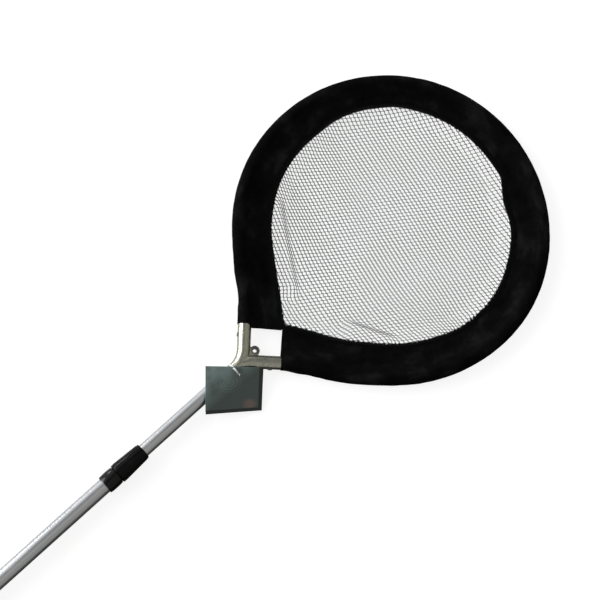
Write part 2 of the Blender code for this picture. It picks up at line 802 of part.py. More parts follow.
def make_hem(parent):
    edge = seam_outline(HEM_WIDTH, HEM_CORNER_WIDTH)
    hem = plate("net_hem", [edge, seam_outline()], FLAP_THICKNESS, parent)
    hem.location.z = -FLAP_DROP
    return finish(hem, (0.010, 0.010, 0.012), 0.95)


def clipped(cell, edge):
    """The part of a convex cell that lies inside a convex outline that runs counterclockwise."""
    for start, end in zip(edge, edge[1:] + edge[:1]):
        way = end - start
        kept = []
        for here, there in zip(cell, cell[1:] + cell[:1]):
            side_here = way.cross(here - start)
            side_there = way.cross(there - start)
            if side_here >= 0:
                kept.append(here)
            if side_here * side_there < 0:
                kept.append(here.lerp(there, side_here / (side_here - side_there)))
        cell = kept
        if len(cell) < 3:
            return []
    return cell


def area(outline):
    return sum(a.cross(b) for a, b in zip(outline, outline[1:] + outline[:1])) / 2


def floor_gaps():
    """The six-sided gaps of the net's floor, trimmed at its edge."""
    corner = (MESH_PITCH - MESH_STRAND) / math.sqrt(3)
    turns = [MESH_TURN + math.pi / 6 + math.pi / 3 * i for i in range(6)]
    cell = [corner * Vector((math.cos(a), math.sin(a))) for a in turns]
    first = MESH_PITCH * Vector((math.cos(MESH_TURN), math.sin(MESH_TURN)))
    second_turn = MESH_TURN + math.pi / 3
    second = MESH_PITCH * Vector((math.cos(second_turn), math.sin(second_turn)))
    inset = FLOOR_INSET + FIT_GAP + MESH_STRAND
    rim = seam_outline(-inset, -inset)
    reach = int(2 * SEAM_RADIUS / MESH_PITCH)
    gaps = []
    for i in range(-reach, reach + 1):
        for j in range(-reach, reach + 1):
            middle = i * first + j * second
            gap = clipped([middle + spot for spot in cell], rim)
            if gap and area(gap) > MESH_LEAST_SHARE * area(cell):
                gaps.append(gap)
    return gaps


def wall_gaps():
    """The four-sided gaps of the net's wall, one between each two points of the seam."""
    outer = seam_outline(-MESH_RIM, -MESH_RIM)
    inner = seam_outline(MESH_STRAND - FLOOR_INSET, MESH_STRAND - FLOOR_INSET)
    gaps = []
    for i in range(SEAM_POINTS):
        gap = []
        for edge, way in ((outer, 1), (inner, -1)):
            ends = [edge[i - 1], edge[i]][::way]
            margin = (ends[1] - ends[0]).normalized() * MESH_STRAND / 2
            gap += [ends[0] + margin, ends[1] - margin]
        gaps.append(gap)
    return gaps


def make_floor(parent):
    """The knitted floor of the pan: flat strands between six-sided gaps."""
    inset = FLOOR_INSET + FIT_GAP
    floor = plate("net_floor", [seam_outline(-inset, -inset)] + floor_gaps(), MESH_THICKNESS, parent)
    floor.location.z = -FLAP_DROP - MESH_DROP
    return finish(floor, (0.014, 0.014, 0.015), 0.9)


def make_wall(parent):
    """The knitted wall of the pan, let down from the seam to the floor."""
    edge = seam_outline(-FIT_GAP, -FIT_GAP)
    foot = seam_outline(-FLOOR_INSET, -FLOOR_INSET)
    wall = plate("net_wall", [edge, foot] + wall_gaps(), MESH_THICKNESS, parent)
    for point in wall.data.vertices:
        place = point.co.xy - SEAM_SHIFT
        inside = seam_radius(math.atan2(place.y, place.x)) - place.length - MESH_RIM
        point.co.z -= MESH_DROP * min(max(inside / MESH_WALL_WIDTH, 0.0), 1.0)
    wall.location.z = -FLAP_DROP
    return finish(wall, (0.014, 0.014, 0.015), 0.9)


def tie_point(angle):
    """A point on the tie's line, at that angle from its top."""
    base = NECK_DIAMETER / 2 + FIT_GAP + TIE_THICKNESS / 2
    radius = base + TIE_BULGE * max(math.cos(angle), 0.0) ** 4
    return Vector((0.0, radius * math.sin(angle), radius * math.cos(angle)))


def make_tie(parent):
    """A strap round the neck, raised above it where it passes through the tag."""
    curve = bpy.data.curves.new("tag_tie", "CURVE")
    curve.dimensions = "3D"
    curve.extrude = (TIE_WIDTH - TIE_THICKNESS) / 2
    curve.bevel_depth = TIE_THICKNESS / 2
    curve.bevel_resolution = 0
    line = curve.splines.new("POLY")
    line.points.add(TIE_POINTS - 1)
    line.use_cyclic_u = True
    for step, point in enumerate(line.points):
        point.co = (*tie_point(2 * math.pi * step / TIE_POINTS), 1.0)
        point.tilt = math.pi / 2
    return finish(as_mesh(new_object("tag_tie", curve, parent)), (0.82, 0.83, 0.83), 0.4)


def tie_crossing(height):
    """Where the tie comes down through that height."""
    near, far = 0.0, math.pi / 2
    while far - near > 0.0001:
        middle = (near + far) / 2
        near, far = (middle, far) if tie_point(middle).z > height else (near, middle)
    return tie_point(-near)


def make_tag(parent):
    """A card folded along its top edge, with a hole for the tie through both leaves."""
    low = STEM_DIAMETER / 2 + FIT_GAP
    middle = low + TAG_LEAF
    upper = middle + TAG_GAP
    top = upper + TAG_LEAF
    back = TAG_HEIGHT - TAG_BACK_SHORT
    section = [
        (0.0, low + TAG_LEAF / 2),
        (TAG_LEAF / 2, low),
        (back, low),
        (back, middle),
        (TAG_LEAF, middle),
        (TAG_LEAF, upper),
        (TAG_HEIGHT, upper),
        (TAG_HEIGHT, top),
        (TAG_LEAF / 2, top),
        (0.0, top - TAG_LEAF / 2),
    ]
    card = plate("tag_card", [section], TAG_WIDTH, parent)
    down = Vector((-math.sin(TAG_TURN), -math.cos(TAG_TURN), 0.0))
    face = Vector((0.0, 0.0, 1.0))
    across = down.cross(face)
    turn = Matrix((down, face, across)).transposed()
    card.data.transform(Matrix.Translation(TAG_TOP_PLACE.to_3d()) @ turn.to_4x4())
    spot = tie_crossing((low + top) / 2)
    half = face * low / 2
    hole = rod("tag_hole", TAG_HOLE_DIAMETER / 2, spot - half, spot + half, parent, sides=TAG_HOLE_SIDES)
    combine(card, hole)
    return finish(card, (0.10, 0.13, 0.13), 0.5)


handle = new_empty("handle", (X_LOCK, 0.0, AXIS_HEIGHT))
head = new_empty("net_head", (X_CROTCH, 0.0, AXIS_HEIGHT))
hoop = new_empty("hoop_centre", (CROTCH_REACH, 0.0, 0.0), head)
bush_place = new_empty(
    "bush_place", (BUSH_LENGTH - INNER_POLE_SEAT - INNER_POLE_LENGTH, 0.0, 0.0), head
)
tag = new_empty("tag_swing", (-TIE_REACH, 0.0, 0.0), head, (TAG_LEAN, 0.0, 0.0))

hoop_tube = make_hoop(hoop)
yoke = make_yoke(head)
inner_pole = make_inner_pole(head)
for side, word in ((1, "left"), (-1, "right")):
    # The hoop's tube is placed about the hoop's centre, and the yoke about the crotch.
    make_rivet(
        "hoop_rivet_" + word,
        head,
        leg_point(HOOP_RIVET_REACH, side),
        leg_out(side),
        ARM_DIAMETER / 2,
        HOOP_TUBE_DIAMETER / 2 - HOOP_TUBE_WALL,
        (yoke, hoop_tube),
    )
for side, word in ((1, "upper"), (-1, "lower")):
    make_pin(
        "stem_pin_" + word,
        STEM_PIN_DIAMETER,
        head,
        Vector((-STEM_PIN_REACH, 0.0, 0.0)),
        Vector((0.0, 0.0, side)),
        INNER_POLE_DIAMETER / 2 - POLE_WALL,
        STEM_DIAMETER / 2,
        (yoke, inner_pole),
    )
make_guide_bush(bush_place)
outer_pole = make_outer_pole(handle)
lock_body = make_lock_body(handle)
make_pin(
    "lock_pin",
    LOCK_PIN_DIAMETER,
    handle,
    Vector((-LOCK_PIN_PLACE, 0.0, 0.0)),
    Vector((0.0, 0.0, -1.0)),
    POLE_BORE,
    FERRULE_WAIST_DIAMETER / 2,
    (lock_body, outer_pole),
)
make_collet(handle)
make_nut(handle)
make_grip(handle)
make_cap(handle)
make_sleeve(hoop)
make_hem(hoop)
make_floor(hoop)
make_wall(hoop)
make_tie(tag)
make_tag(tag)
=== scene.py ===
# %% [markdown]
# # A koi pan net
# The CAD frame already holds every piece of the net at its real size and place, and knows how the
# pieces move. This lesson gives them their looks: black cloth on a hoop, a knitted net, drawn and cast
# aluminium, black plastic and a card tag. Each step makes one piece as you would by hand in Blender.

# %% Load the frame
import math
from collections import namedtuple

import bmesh
import bpy
import numpy as np
from mathutils import Matrix, Quaternion, Vector


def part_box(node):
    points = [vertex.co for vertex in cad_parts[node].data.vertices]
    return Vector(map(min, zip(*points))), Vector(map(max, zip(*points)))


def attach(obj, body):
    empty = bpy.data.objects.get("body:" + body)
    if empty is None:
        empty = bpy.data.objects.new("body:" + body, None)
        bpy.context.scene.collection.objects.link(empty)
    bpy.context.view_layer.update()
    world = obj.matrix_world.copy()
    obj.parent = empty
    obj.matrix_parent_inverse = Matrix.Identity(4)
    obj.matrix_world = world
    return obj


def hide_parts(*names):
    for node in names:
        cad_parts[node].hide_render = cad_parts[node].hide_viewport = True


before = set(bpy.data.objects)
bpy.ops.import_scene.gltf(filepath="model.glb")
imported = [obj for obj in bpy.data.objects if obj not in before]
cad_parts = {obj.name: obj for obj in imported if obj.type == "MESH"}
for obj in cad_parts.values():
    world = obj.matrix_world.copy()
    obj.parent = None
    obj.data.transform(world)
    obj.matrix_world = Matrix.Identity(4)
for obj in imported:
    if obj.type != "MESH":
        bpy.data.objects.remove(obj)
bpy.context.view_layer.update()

# %% [markdown]
# ## Camera
# The picture looks down on the net from a little behind the handle, through a long lens, and the net is
# turned in the frame. A camera can be turned by hand, or aimed: here it is aimed at a point between the
# hoop and the lock, and then rolled about its own line of sight.

# %% Camera
CAMERA_PLACE = Vector((-0.4558, -0.4656, 4.5460))
CAMERA_AIM = Vector((0.4282, 0.0142, 0.0192))
CAMERA_ROLL = math.radians(19.026)
CAMERA_LENS = 149.04

bpy.ops.object.select_all(action="DESELECT")
bpy.ops.object.camera_add(location=CAMERA_PLACE)
camera = bpy.context.object
camera.data.lens = CAMERA_LENS
aimed = (CAMERA_AIM - CAMERA_PLACE).to_track_quat("-Z", "Y")
camera.rotation_euler = (aimed @ Quaternion((0, 0, 1), CAMERA_ROLL)).to_euler()
bpy.context.scene.camera = camera
bpy.context.scene.view_settings.view_transform = "Standard"
print("Camera distance:", round((CAMERA_AIM - CAMERA_PLACE).length, 3))

# %% [markdown]
# ## Light and floor
# A broad soft sun stands for a large, low studio lamp at the left of the picture. A second one, weak,
# narrow and lower still, only draws the thin bright line along black plastic. The world around is pale
# on the lamp's side and dim on the other, so that round metal shows a highlight, a dark line, a grey band
# and a dark edge. The floor's colour, as reflections and bounce light see it, is painted: pale on the
# lamp's side of the pole as painted light, and dim on the other as a painted shadow of the pole, as the
# metal's edges show. To the camera alone both are lifted to white through Light Path, which adds no light.

# %% Light
SUN_PLACE = Vector((-0.43, 0.87, 0.42))
SUN_STRENGTH = 2.3
SUN_ANGLE = math.radians(50)
SPARK_PLACE = Vector((0.15, 0.97, 0.15))
SPARK_STRENGTH = 0.14
SPARK_ANGLE = math.radians(6)
LAMP_SIDE = (-0.44, 0.90, 0.0)
# The world's tones from the far side to the lamp's side
WORLD_TONES = (
    (0.00, (0.30, 0.30, 0.28)),
    (0.18, (0.36, 0.36, 0.33)),
    (0.38, (0.44, 0.44, 0.43)),
    (0.48, (0.25, 0.25, 0.25)),
    (0.63, (0.22, 0.23, 0.23)),
    (0.80, (0.86, 0.87, 0.88)),
    (1.00, (0.92, 0.93, 0.94)),
)


def add_sun(place, strength, angle):
    """A sun that shines from this side."""
    bpy.ops.object.light_add(type="SUN", location=place)
    lamp = bpy.context.object
    lamp.rotation_euler = place.to_track_quat("Z", "Y").to_euler()
    lamp.data.energy = strength
    lamp.data.angle = angle


def set_stops(ramp, stops):
    """Gives a colour ramp these (position, colour) stops."""
    ends = ramp.color_ramp.elements
    while len(ends) < len(stops):
        ends.new(0.5)
    for end, (position, colour) in zip(ends, stops):
        end.position = position
        end.color = (*colour, 1)


add_sun(SUN_PLACE, SUN_STRENGTH, SUN_ANGLE)
add_sun(SPARK_PLACE, SPARK_STRENGTH, SPARK_ANGLE)
world = bpy.data.worlds.new("studio")
bpy.context.scene.world = world
world.use_nodes = True
sky = world.node_tree
backdrop = sky.nodes["Background"]
around = sky.nodes.new("ShaderNodeTexCoord")
toward = sky.nodes.new("ShaderNodeVectorMath")
toward.operation = "DOT_PRODUCT"
toward.inputs[1].default_value = LAMP_SIDE
across = sky.nodes.new("ShaderNodeMapRange")
across.inputs["From Min"].default_value = -1.0
across.inputs["From Max"].default_value = 1.0
sides = sky.nodes.new("ShaderNodeValToRGB")
set_stops(sides, WORLD_TONES)
path = sky.nodes.new("ShaderNodeLightPath")
seen = sky.nodes.new("ShaderNodeMix")
seen.data_type = "RGBA"
seen.inputs["B"].default_value = (1, 1, 1, 1)
sky.links.new(around.outputs["Generated"], toward.inputs[0])
sky.links.new(toward.outputs["Value"], across.inputs["Value"])
sky.links.new(across.outputs["Result"], sides.inputs["Fac"])
sky.links.new(sides.outputs["Color"], seen.inputs["A"])
sky.links.new(path.outputs["Is Camera Ray"], seen.inputs["Factor"])
sky.links.new(seen.outputs["Result"], backdrop.inputs["Color"])
print("Suns:", SUN_STRENGTH, "and", SPARK_STRENGTH)

# %% Floor
FLOOR_SIZE = 80.0
FLOOR_TONE = 0.30
FLOOR_LIFT = 0.84
# The strip under the pole where the floor's painted shadow turns to painted light, from the far side to the
# lamp's side
FLOOR_PAINTED_STRIP = 0.2
# Painted light and shade in the floor's colour: dim on the far side of the pole, pale on the lamp's side
FLOOR_PAINTED_LIGHT_AND_SHADE = ((0.36, (0.09, 0.09, 0.09)), (0.44, (0.95, 0.95, 0.95)))

bpy.ops.mesh.primitive_plane_add(size=FLOOR_SIZE)
floor = bpy.context.object
floor.name = "floor"
paper = bpy.data.materials.new("white_floor")
paper.use_nodes = True
tree = paper.node_tree
shader = tree.nodes["Principled BSDF"]
shader.inputs["Roughness"].default_value = 1.0
shader.inputs["Specular IOR Level"].default_value = 0.0
shader.inputs["Emission Color"].default_value = (1, 1, 1, 1)
rays = tree.nodes.new("ShaderNodeLightPath")
lift = tree.nodes.new("ShaderNodeMath")
lift.operation = "MULTIPLY"
lift.inputs[1].default_value = FLOOR_LIFT
tree.links.new(rays.outputs["Is Camera Ray"], lift.inputs[0])
tree.links.new(lift.outputs[0], shader.inputs["Emission Strength"])
floor_place = tree.nodes.new("ShaderNodeTexCoord")
floor_parts = tree.nodes.new("ShaderNodeSeparateXYZ")
beside = tree.nodes.new("ShaderNodeMapRange")
beside.inputs["From Min"].default_value = -FLOOR_PAINTED_STRIP / 2
beside.inputs["From Max"].default_value = FLOOR_PAINTED_STRIP / 2
# The painted shadow and painted light beside the pole, seen only by reflections and bounce light
floor_painted_light_and_shade = tree.nodes.new("ShaderNodeValToRGB")
set_stops(floor_painted_light_and_shade, FLOOR_PAINTED_LIGHT_AND_SHADE)
floor_seen = tree.nodes.new("ShaderNodeMix")
floor_seen.data_type = "RGBA"
floor_seen.inputs["B"].default_value = (FLOOR_TONE, FLOOR_TONE, FLOOR_TONE, 1)
tree.links.new(floor_place.outputs["Object"], floor_parts.inputs["Vector"])
tree.links.new(floor_parts.outputs["Y"], beside.inputs["Value"])
tree.links.new(beside.outputs["Result"], floor_painted_light_and_shade.inputs["Fac"])
tree.links.new(floor_painted_light_and_shade.outputs["Color"], floor_seen.inputs["A"])
tree.links.new(rays.outputs["Is Camera Ray"], floor_seen.inputs["Factor"])
tree.links.new(floor_seen.outputs["Result"], shader.inputs["Base Color"])
floor.data.materials.append(paper)
print("Floor:", FLOOR_SIZE, "m wide")

# %% [markdown]
# ## Helpers
# Operators act on all that is selected, so each step first selects the one piece it works on. These
# few helpers do what the mouse does by hand: select a piece, go into edit mode, close open ends, turn
# faces outward, pick faces by their place, and apply modifiers. The last one hands the finished piece
# over to its body in the frame.

# %% Helpers for modelling
def only(piece):
    """Selects this piece and nothing else."""
    bpy.ops.object.select_all(action="DESELECT")
    piece.select_set(True)
    bpy.context.view_layer.objects.active = piece


def edit(piece):
    """Goes into edit mode with every point selected."""
    only(piece)
    bpy.ops.object.mode_set(mode="EDIT")
    bpy.ops.mesh.select_mode(type="VERT")
    bpy.ops.mesh.select_all(action="SELECT")


def leave_edit():
    """Goes back to object mode."""
    bpy.ops.object.mode_set(mode="OBJECT")


def face_out(piece, merge=None):
    """Merges points that lie closer than merge, and turns all faces outward."""
    edit(piece)
    if merge:
        bpy.ops.mesh.remove_doubles(threshold=merge)
    bpy.ops.mesh.normals_make_consistent(inside=False)
    leave_edit()


def close_ends():
    """In edit mode, fills the open ends, turns all faces outward and leaves edit mode."""
    bpy.ops.mesh.select_all(action="SELECT")
    bpy.ops.mesh.fill_holes(sides=0)
    bpy.ops.mesh.select_all(action="SELECT")
    bpy.ops.mesh.normals_make_consistent(inside=False)
    leave_edit()


def pick_faces(piece, wanted):
    """In edit mode, selects the faces whose middle and normal pass the test."""
    bpy.ops.mesh.select_mode(type="FACE")
    bpy.ops.mesh.select_all(action="DESELECT")
    shape = bmesh.from_edit_mesh(piece.data)
    for face in shape.faces:
        face.select_set(wanted(face.calc_center_median(), face.normal))
    bmesh.update_edit_mesh(piece.data)


def modify(piece, kind, **settings):
    """Adds a modifier with these settings and applies it."""
    only(piece)
    change = piece.modifiers.new(kind, kind)
    for name, value in settings.items():
        setattr(change, name, value)
    bpy.ops.object.modifier_apply(modifier=change.name)


def soften(piece, width, segments=3, angle=35):
    """Rounds the sharp edges."""
    modify(
        piece, "BEVEL", width=width, segments=segments, limit_method="ANGLE", angle_limit=math.radians(angle)
    )


def hand_over(piece, material, body, slot, *nodes, smooth=30):
    """Applies the piece's place, gives it its finish and lets it ride on its body."""
    only(piece)
    bpy.ops.object.transform_apply(location=True, rotation=True, scale=True)
    bpy.ops.object.shade_smooth_by_angle(angle=math.radians(smooth))
    piece.data.materials.clear()
    piece.data.materials.append(material)
    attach(piece, body)
    if nodes:
        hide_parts(*nodes)
    size = [round(1000 * x, 1) for x in piece.dimensions]
    print(piece.name, size, "mm,", len(piece.data.polygons), "faces")


# %% Helpers for finishes
def new_finish(name, colour, roughness, **sockets):
    """A material whose even values stand on the shader's own sockets."""
    material = bpy.data.materials.new(name)
    material.use_nodes = True
    shader = material.node_tree.nodes["Principled BSDF"]
    shader.inputs["Base Color"].default_value = (*colour, 1)
    shader.inputs["Roughness"].default_value = roughness
    for socket, value in sockets.items():
        shader.inputs[socket.replace("_", " ")].default_value = value
    return material


def pattern(material, kind, size, coords="Object", stretch=(1, 1, 1), turn=(0, 0, 0), **inputs):
    """A texture whose cells are about size metres wide, drawn out by stretch."""
    nodes = material.node_tree.nodes
    links = material.node_tree.links
    place = nodes.new("ShaderNodeTexCoord")
    mapping = nodes.new("ShaderNodeMapping")
    mapping.inputs["Rotation"].default_value = turn
    mapping.inputs["Scale"].default_value = [1 / (size * s) for s in stretch]
    texture = nodes.new(kind)
    texture.inputs["Scale"].default_value = 1.0
    for name, value in inputs.items():
        texture.inputs[name].default_value = value
    links.new(place.outputs[coords], mapping.inputs["Vector"])
    links.new(mapping.outputs["Vector"], texture.inputs["Vector"])
    return texture.outputs[0]


def tint(material, source, *stops):
    """Colours a pattern by (position, colour) stops for the base colour, and returns that colour."""
    nodes = material.node_tree.nodes
    links = material.node_tree.links
    ramp = nodes.new("ShaderNodeValToRGB")
    set_stops(ramp, stops)
    links.new(source, ramp.inputs["Fac"])
    links.new(ramp.outputs["Color"], nodes["Principled BSDF"].inputs["Base Color"])
    return ramp.outputs["Color"]


def overlay(material, under, colour, source, low, high, share=1.0):
    """Lays a colour over another where a value runs from low to high, and returns the mix."""
    nodes = material.node_tree.nodes
    links = material.node_tree.links
    spread = nodes.new("ShaderNodeMapRange")
    spread.interpolation_type = "SMOOTHSTEP"
    spread.inputs["From Min"].default_value = low
    spread.inputs["From Max"].default_value = high
    spread.inputs["To Max"].default_value = share
    mix = nodes.new("ShaderNodeMix")
    mix.data_type = "RGBA"
    if isinstance(colour, tuple):
        mix.inputs["B"].default_value = (*colour, 1)
    else:
        links.new(colour, mix.inputs["B"])
    links.new(source, spread.inputs["Value"])
    links.new(spread.outputs["Result"], mix.inputs["Factor"])
    links.new(under, mix.inputs["A"])
    links.new(mix.outputs["Result"], nodes["Principled BSDF"].inputs["Base Color"])
    return mix.outputs["Result"]


def gloss(material, source, low, high):
    """Lets a pattern vary the roughness between two values. Most of a noise lies from 0.3 to 0.7."""
    nodes = material.node_tree.nodes
    links = material.node_tree.links
    spread = nodes.new("ShaderNodeMapRange")
    spread.inputs["From Min"].default_value = 0.3
    spread.inputs["From Max"].default_value = 0.7
    spread.inputs["To Min"].default_value = low
    spread.inputs["To Max"].default_value = high
    links.new(source, spread.inputs["Value"])
    links.new(spread.outputs["Result"], nodes["Principled BSDF"].inputs["Roughness"])


def relief(material, source, depth, strength=1.0):
    """Adds a pattern to the bump, depth metres high."""
    nodes = material.node_tree.nodes
    links = material.node_tree.links
    normal = nodes["Principled BSDF"].inputs["Normal"]
    bump = nodes.new("ShaderNodeBump")
    bump.inputs["Distance"].default_value = depth
    bump.inputs["Strength"].default_value = strength
    if normal.is_linked:
        links.new(normal.links[0].from_socket, bump.inputs["Normal"])
    links.new(source, bump.inputs["Height"])
    links.new(bump.outputs["Normal"], normal)


print("Helpers ready")

# %% [markdown]
# ## Sizes that several pieces share
# The frame gives most places: the pole's axis, the hoop's middle and the crotch, where the lines of the
# two legs meet. The hoop's line is a circle that bends back into two straight legs. Soft pieces follow
# that line, so it is worked out once, as evenly spaced points with the direction to the inside.

# %% The hoop's line
sleeve_low, sleeve_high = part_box("net_sleeve")
pole_low, pole_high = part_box("inner_pole")
AXIS = (pole_low.z + pole_high.z) / 2
HOOP_REACH = (sleeve_high.y - sleeve_low.y) / 2
HOOP_X = sleeve_high.x - HOOP_REACH
STEM_END = 0.080
CROTCH_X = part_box("yoke")[0].x + STEM_END
POCKET_RADIUS = 0.0127
HOOP_RADIUS = HOOP_REACH - POCKET_RADIUS
LEG_ANGLE = math.radians(45)
REVERSE_RADIUS = 0.300
SLEEVE_END = 0.070
ARC_POINTS = 600
BEND_POINTS = 120
LINE_POINTS = 900


def round_points(angles, radius):
    """Points on a circle at these angles."""
    return radius * np.stack((np.cos(angles), np.sin(angles)), axis=1)


def hoop_line(count):
    """Points about the hoop's middle, from one leg's end round to the other, and the inward directions."""
    crotch = np.array((CROTCH_X - HOOP_X, 0.0))
    foot = -crotch[0] * math.sin(LEG_ANGLE)
    sweep = math.acos((foot + REVERSE_RADIUS) / (HOOP_RADIUS + REVERSE_RADIUS))
    leave = math.pi - LEG_ANGLE + sweep
    circle = round_points(np.linspace(0, leave, ARC_POINTS), HOOP_RADIUS)
    bend_middle = circle[-1] * (HOOP_RADIUS + REVERSE_RADIUS) / HOOP_RADIUS
    turns = np.linspace(leave, leave - sweep, BEND_POINTS)[1:]
    reverse = bend_middle - round_points(turns, REVERSE_RADIUS)
    end = crotch + round_points(np.array([LEG_ANGLE]), SLEEVE_END)[0]
    leg = reverse[-1] + (end - reverse[-1]) * np.linspace(0, 1, BEND_POINTS)[1:, None]
    half = np.concatenate((circle, reverse, leg))
    line = np.concatenate((half[:0:-1] * (1, -1), half))
    along = np.concatenate(([0], np.cumsum(np.linalg.norm(np.diff(line, axis=0), axis=1))))
    even = np.linspace(0, along[-1], count)
    spots = np.stack([np.interp(even, along, line[:, i]) for i in (0, 1)], axis=1)
    ways = np.gradient(spots, axis=0)
    ways /= np.linalg.norm(ways, axis=1)[:, None]
    return spots, np.stack((-ways[:, 1], ways[:, 0]), axis=1), even


LINE_LENGTH = hoop_line(LINE_POINTS)[2][-1]
print("Hoop's middle:", round(HOOP_X, 4), "line:", round(LINE_LENGTH, 3), "m")

# %% [markdown]
# ## The net's seam
# Inside the band of cloth, a hem joins the sleeve to the net. Its line is a circle, drawn out to a
# corner near the crotch. A sewer never keeps such a line quite round: it runs a little wide in some
# places and narrow in others, and makes a small corner at the right of the picture. Each of these is one
# soft bump that is added to the circle's radius.

# %% The seam's line
SEAM_MIDDLE = np.array((0.0055, 0.0055))
SEAM_RADIUS = 0.228
SEAM_CORNER = np.array((-0.2735, 0.0))
HEM_WIDTH = 0.013
HEM_CORNER_WIDTH = 0.010
FLAP_DROP = 0.002
# Where the seam is eased: its direction and spread in degrees, and how far out in metres
SEAM_EASES = (
    (259, 8, 0.0025),
    (279, 21, 0.0062),
    (329, 9, -0.0085),
    (343, 5, 0.0035),
    (84, 8, -0.0022),
    (98, 19, -0.0062),
    (128, 16, -0.0040),
    (45, 12, 0.0022),
    (203, 13, 0.0064),
)


def away_from(angles, direction):
    """How far angles lie from a direction, in radians."""
    return np.abs((angles - direction + math.pi) % (2 * math.pi) - math.pi)


def bump(angles, direction, spread):
    """A soft bump, 1 high, at a direction in degrees."""
    share = away_from(angles, math.radians(direction)) / math.radians(spread)
    return np.exp(-share * share)


def seam_radius(angles, grow=0.0, corner_grow=0.0):
    """The seam's distance from its middle, or that of a line beside it."""
    radius = SEAM_RADIUS + grow
    to_corner = SEAM_CORNER - SEAM_MIDDLE
    tangent = math.acos(radius / (np.linalg.norm(to_corner) + corner_grow))
    away = away_from(angles, math.atan2(to_corner[1], to_corner[0]))
    line = np.where(away > tangent, radius, radius / np.cos(np.minimum(tangent - away, 1.4)))
    for direction, spread, out in SEAM_EASES:
        line = line + out * bump(angles, direction, spread)
    return line


def flap_width(spots, inward):
    """How far the sleeve's flap runs from the hoop's line to the hem."""
    near = np.zeros(len(spots))
    far = np.full(len(spots), HOOP_RADIUS)
    for _ in range(30):
        middle = (near + far) / 2
        place = spots + inward * middle[:, None] - SEAM_MIDDLE
        hem = seam_radius(np.arctan2(place[:, 1], place[:, 0]), HEM_WIDTH, HEM_CORNER_WIDTH)
        outside = np.linalg.norm(place, axis=1) > hem
        near = np.where(outside, middle, near)
        far = np.where(outside, far, middle)
    return near


print("Seam:", round(1000 * float(seam_radius(np.array([0.0]))[0]), 1), "mm from its middle")

# %% [markdown]
# ## The cloth's own folds
# Cloth that is sewn to a hem is never flat: it puckers where the needle drew it in, and it has slow
# waves where the hoop holds it. A few sine waves with mixed lengths, each one strong in some places and
# weak in others, look like that. The random numbers are seeded, so every run gives the same folds.

# %% Folds
def ease(share):
    """Runs smoothly from 0 to 1."""
    share = np.clip(share, 0, 1)
    return share * share * (3 - 2 * share)


def folds(along, across, lengths, seed):
    """Waves about one unit high along a strip, with each wave's strength drifting along it."""
    chance = np.random.default_rng(seed)
    height = np.zeros(np.broadcast(along, across).shape)
    for length in lengths:
        phase, drift = chance.uniform(0, 2 * math.pi, 2)
        lean = chance.normal(0, 1.2)
        beat = length * chance.uniform(5, 9)
        strength = 0.5 + 0.5 * np.sin(2 * math.pi * along / beat + drift)
        height = height + strength * np.sin(2 * math.pi * along / length + lean * across + phase)
    return height / math.sqrt(len(lengths))


def sheet_mesh(name, spots, closed, uv):
    """Quads through spots[row, column], with a UV map in metres. Closed joins the last row to the first."""
    rows, columns = spots.shape[:2]
    mesh = bpy.data.meshes.new(name)
    quads = []
    for i in range(rows if closed else rows - 1):
        j = (i + 1) % rows
        for k in range(columns - 1):
            quads.append((i * columns + k, i * columns + k + 1, j * columns + k + 1, j * columns + k))
    mesh.from_pydata(spots.reshape(-1, 3).tolist(), [], quads)
    layer = mesh.uv_layers.new(name="strip")
    corners = np.empty(len(mesh.loops), dtype=np.int32)
    mesh.loops.foreach_get("vertex_index", corners)
    layer.data.foreach_set("uv", uv.reshape(-1, 2)[corners].astype(np.float32).ravel())
    piece = bpy.data.objects.new(name, mesh)
    bpy.context.scene.collection.objects.link(piece)
    return piece


print("Folds ready")

# %% [markdown]
# ## The cloth sleeve
# One strip of black cloth is laid round the hoop's tube, and its two edges meet at the hem. You could
# draw one section and sweep it, but the strip's width changes all the way round. So the sheet is laid
# out row by row along the hoop. Every row is the same section, from the hem over the tube and back
# underneath, for its own tube radius and flap width.

# %% Sleeve section
FLAP_POINTS = 15
ROUND_POINTS = 22
LEAVE_ANGLE = math.radians(52)
EASE_WIDTH = 0.026
FLAP_HALF = 0.0012


def sleeve_section(radius, width):
    """(inward, up) points from the hem over the tube and back."""
    leave = radius * np.array((math.cos(LEAVE_ANGLE), math.sin(LEAVE_ANGLE)))
    end = np.array((radius + EASE_WIDTH, -FLAP_DROP + 2.2 * FLAP_HALF))
    slope = np.array((math.sin(LEAVE_ANGLE), -math.cos(LEAVE_ANGLE))) * EASE_WIDTH
    # A smooth curve that leaves the tube along its round and runs out nearly flat
    part = np.linspace(0, 1, FLAP_POINTS)[:, None]
    curve = (
        (2 * part**3 - 3 * part**2 + 1) * leave
        + (part**3 - 2 * part**2 + part) * slope
        + (3 * part**2 - 2 * part**3) * end
        + (part**3 - part**2) * np.array((EASE_WIDTH, -0.002))
    )
    tip = np.array((width, -FLAP_DROP + FLAP_HALF))
    flat = end + (tip - end) * np.linspace(0, 1, FLAP_POINTS)[1:, None]
    top = np.concatenate((curve, flat))[::-1]
    turns = np.linspace(LEAVE_ANGLE, 2 * math.pi - LEAVE_ANGLE, ROUND_POINTS)[1:-1]
    over = round_points(turns, radius)
    under = top[::-1] * (1, -1) - (0, 2 * FLAP_DROP)
    under[:FLAP_POINTS, 1] += 2 * FLAP_DROP * (1 - part[:, 0] ** 2)
    return np.concatenate((top, over, under))


print("Section points:", len(sleeve_section(POCKET_RADIUS, EASE_WIDTH)))

# %% [markdown]
# ## The sleeve's rows
# The rows follow the hoop's line. On the yoke's arms the sleeve is a little wider. In a few places the
# cloth is slack, so it stands off the tube to the outside and lies flatter there.

# %% Sleeve rows
SLEEVE_ROWS = 560
HEM_LAP = 0.003
ARM_LENGTH = 0.100
ARM_SWELL = 0.0012
ARM_BLEND = 0.014
# Where the sleeve stands off the tube: its direction and spread in degrees, and how far in metres
SLEEVE_EASES = ((288, 32, 0.0040), (155, 7.5, 0.0062), (204.5, 12.5, 0.0118))
SLACK_BLEND = 0.035
SLACK_FLATTENS = 12

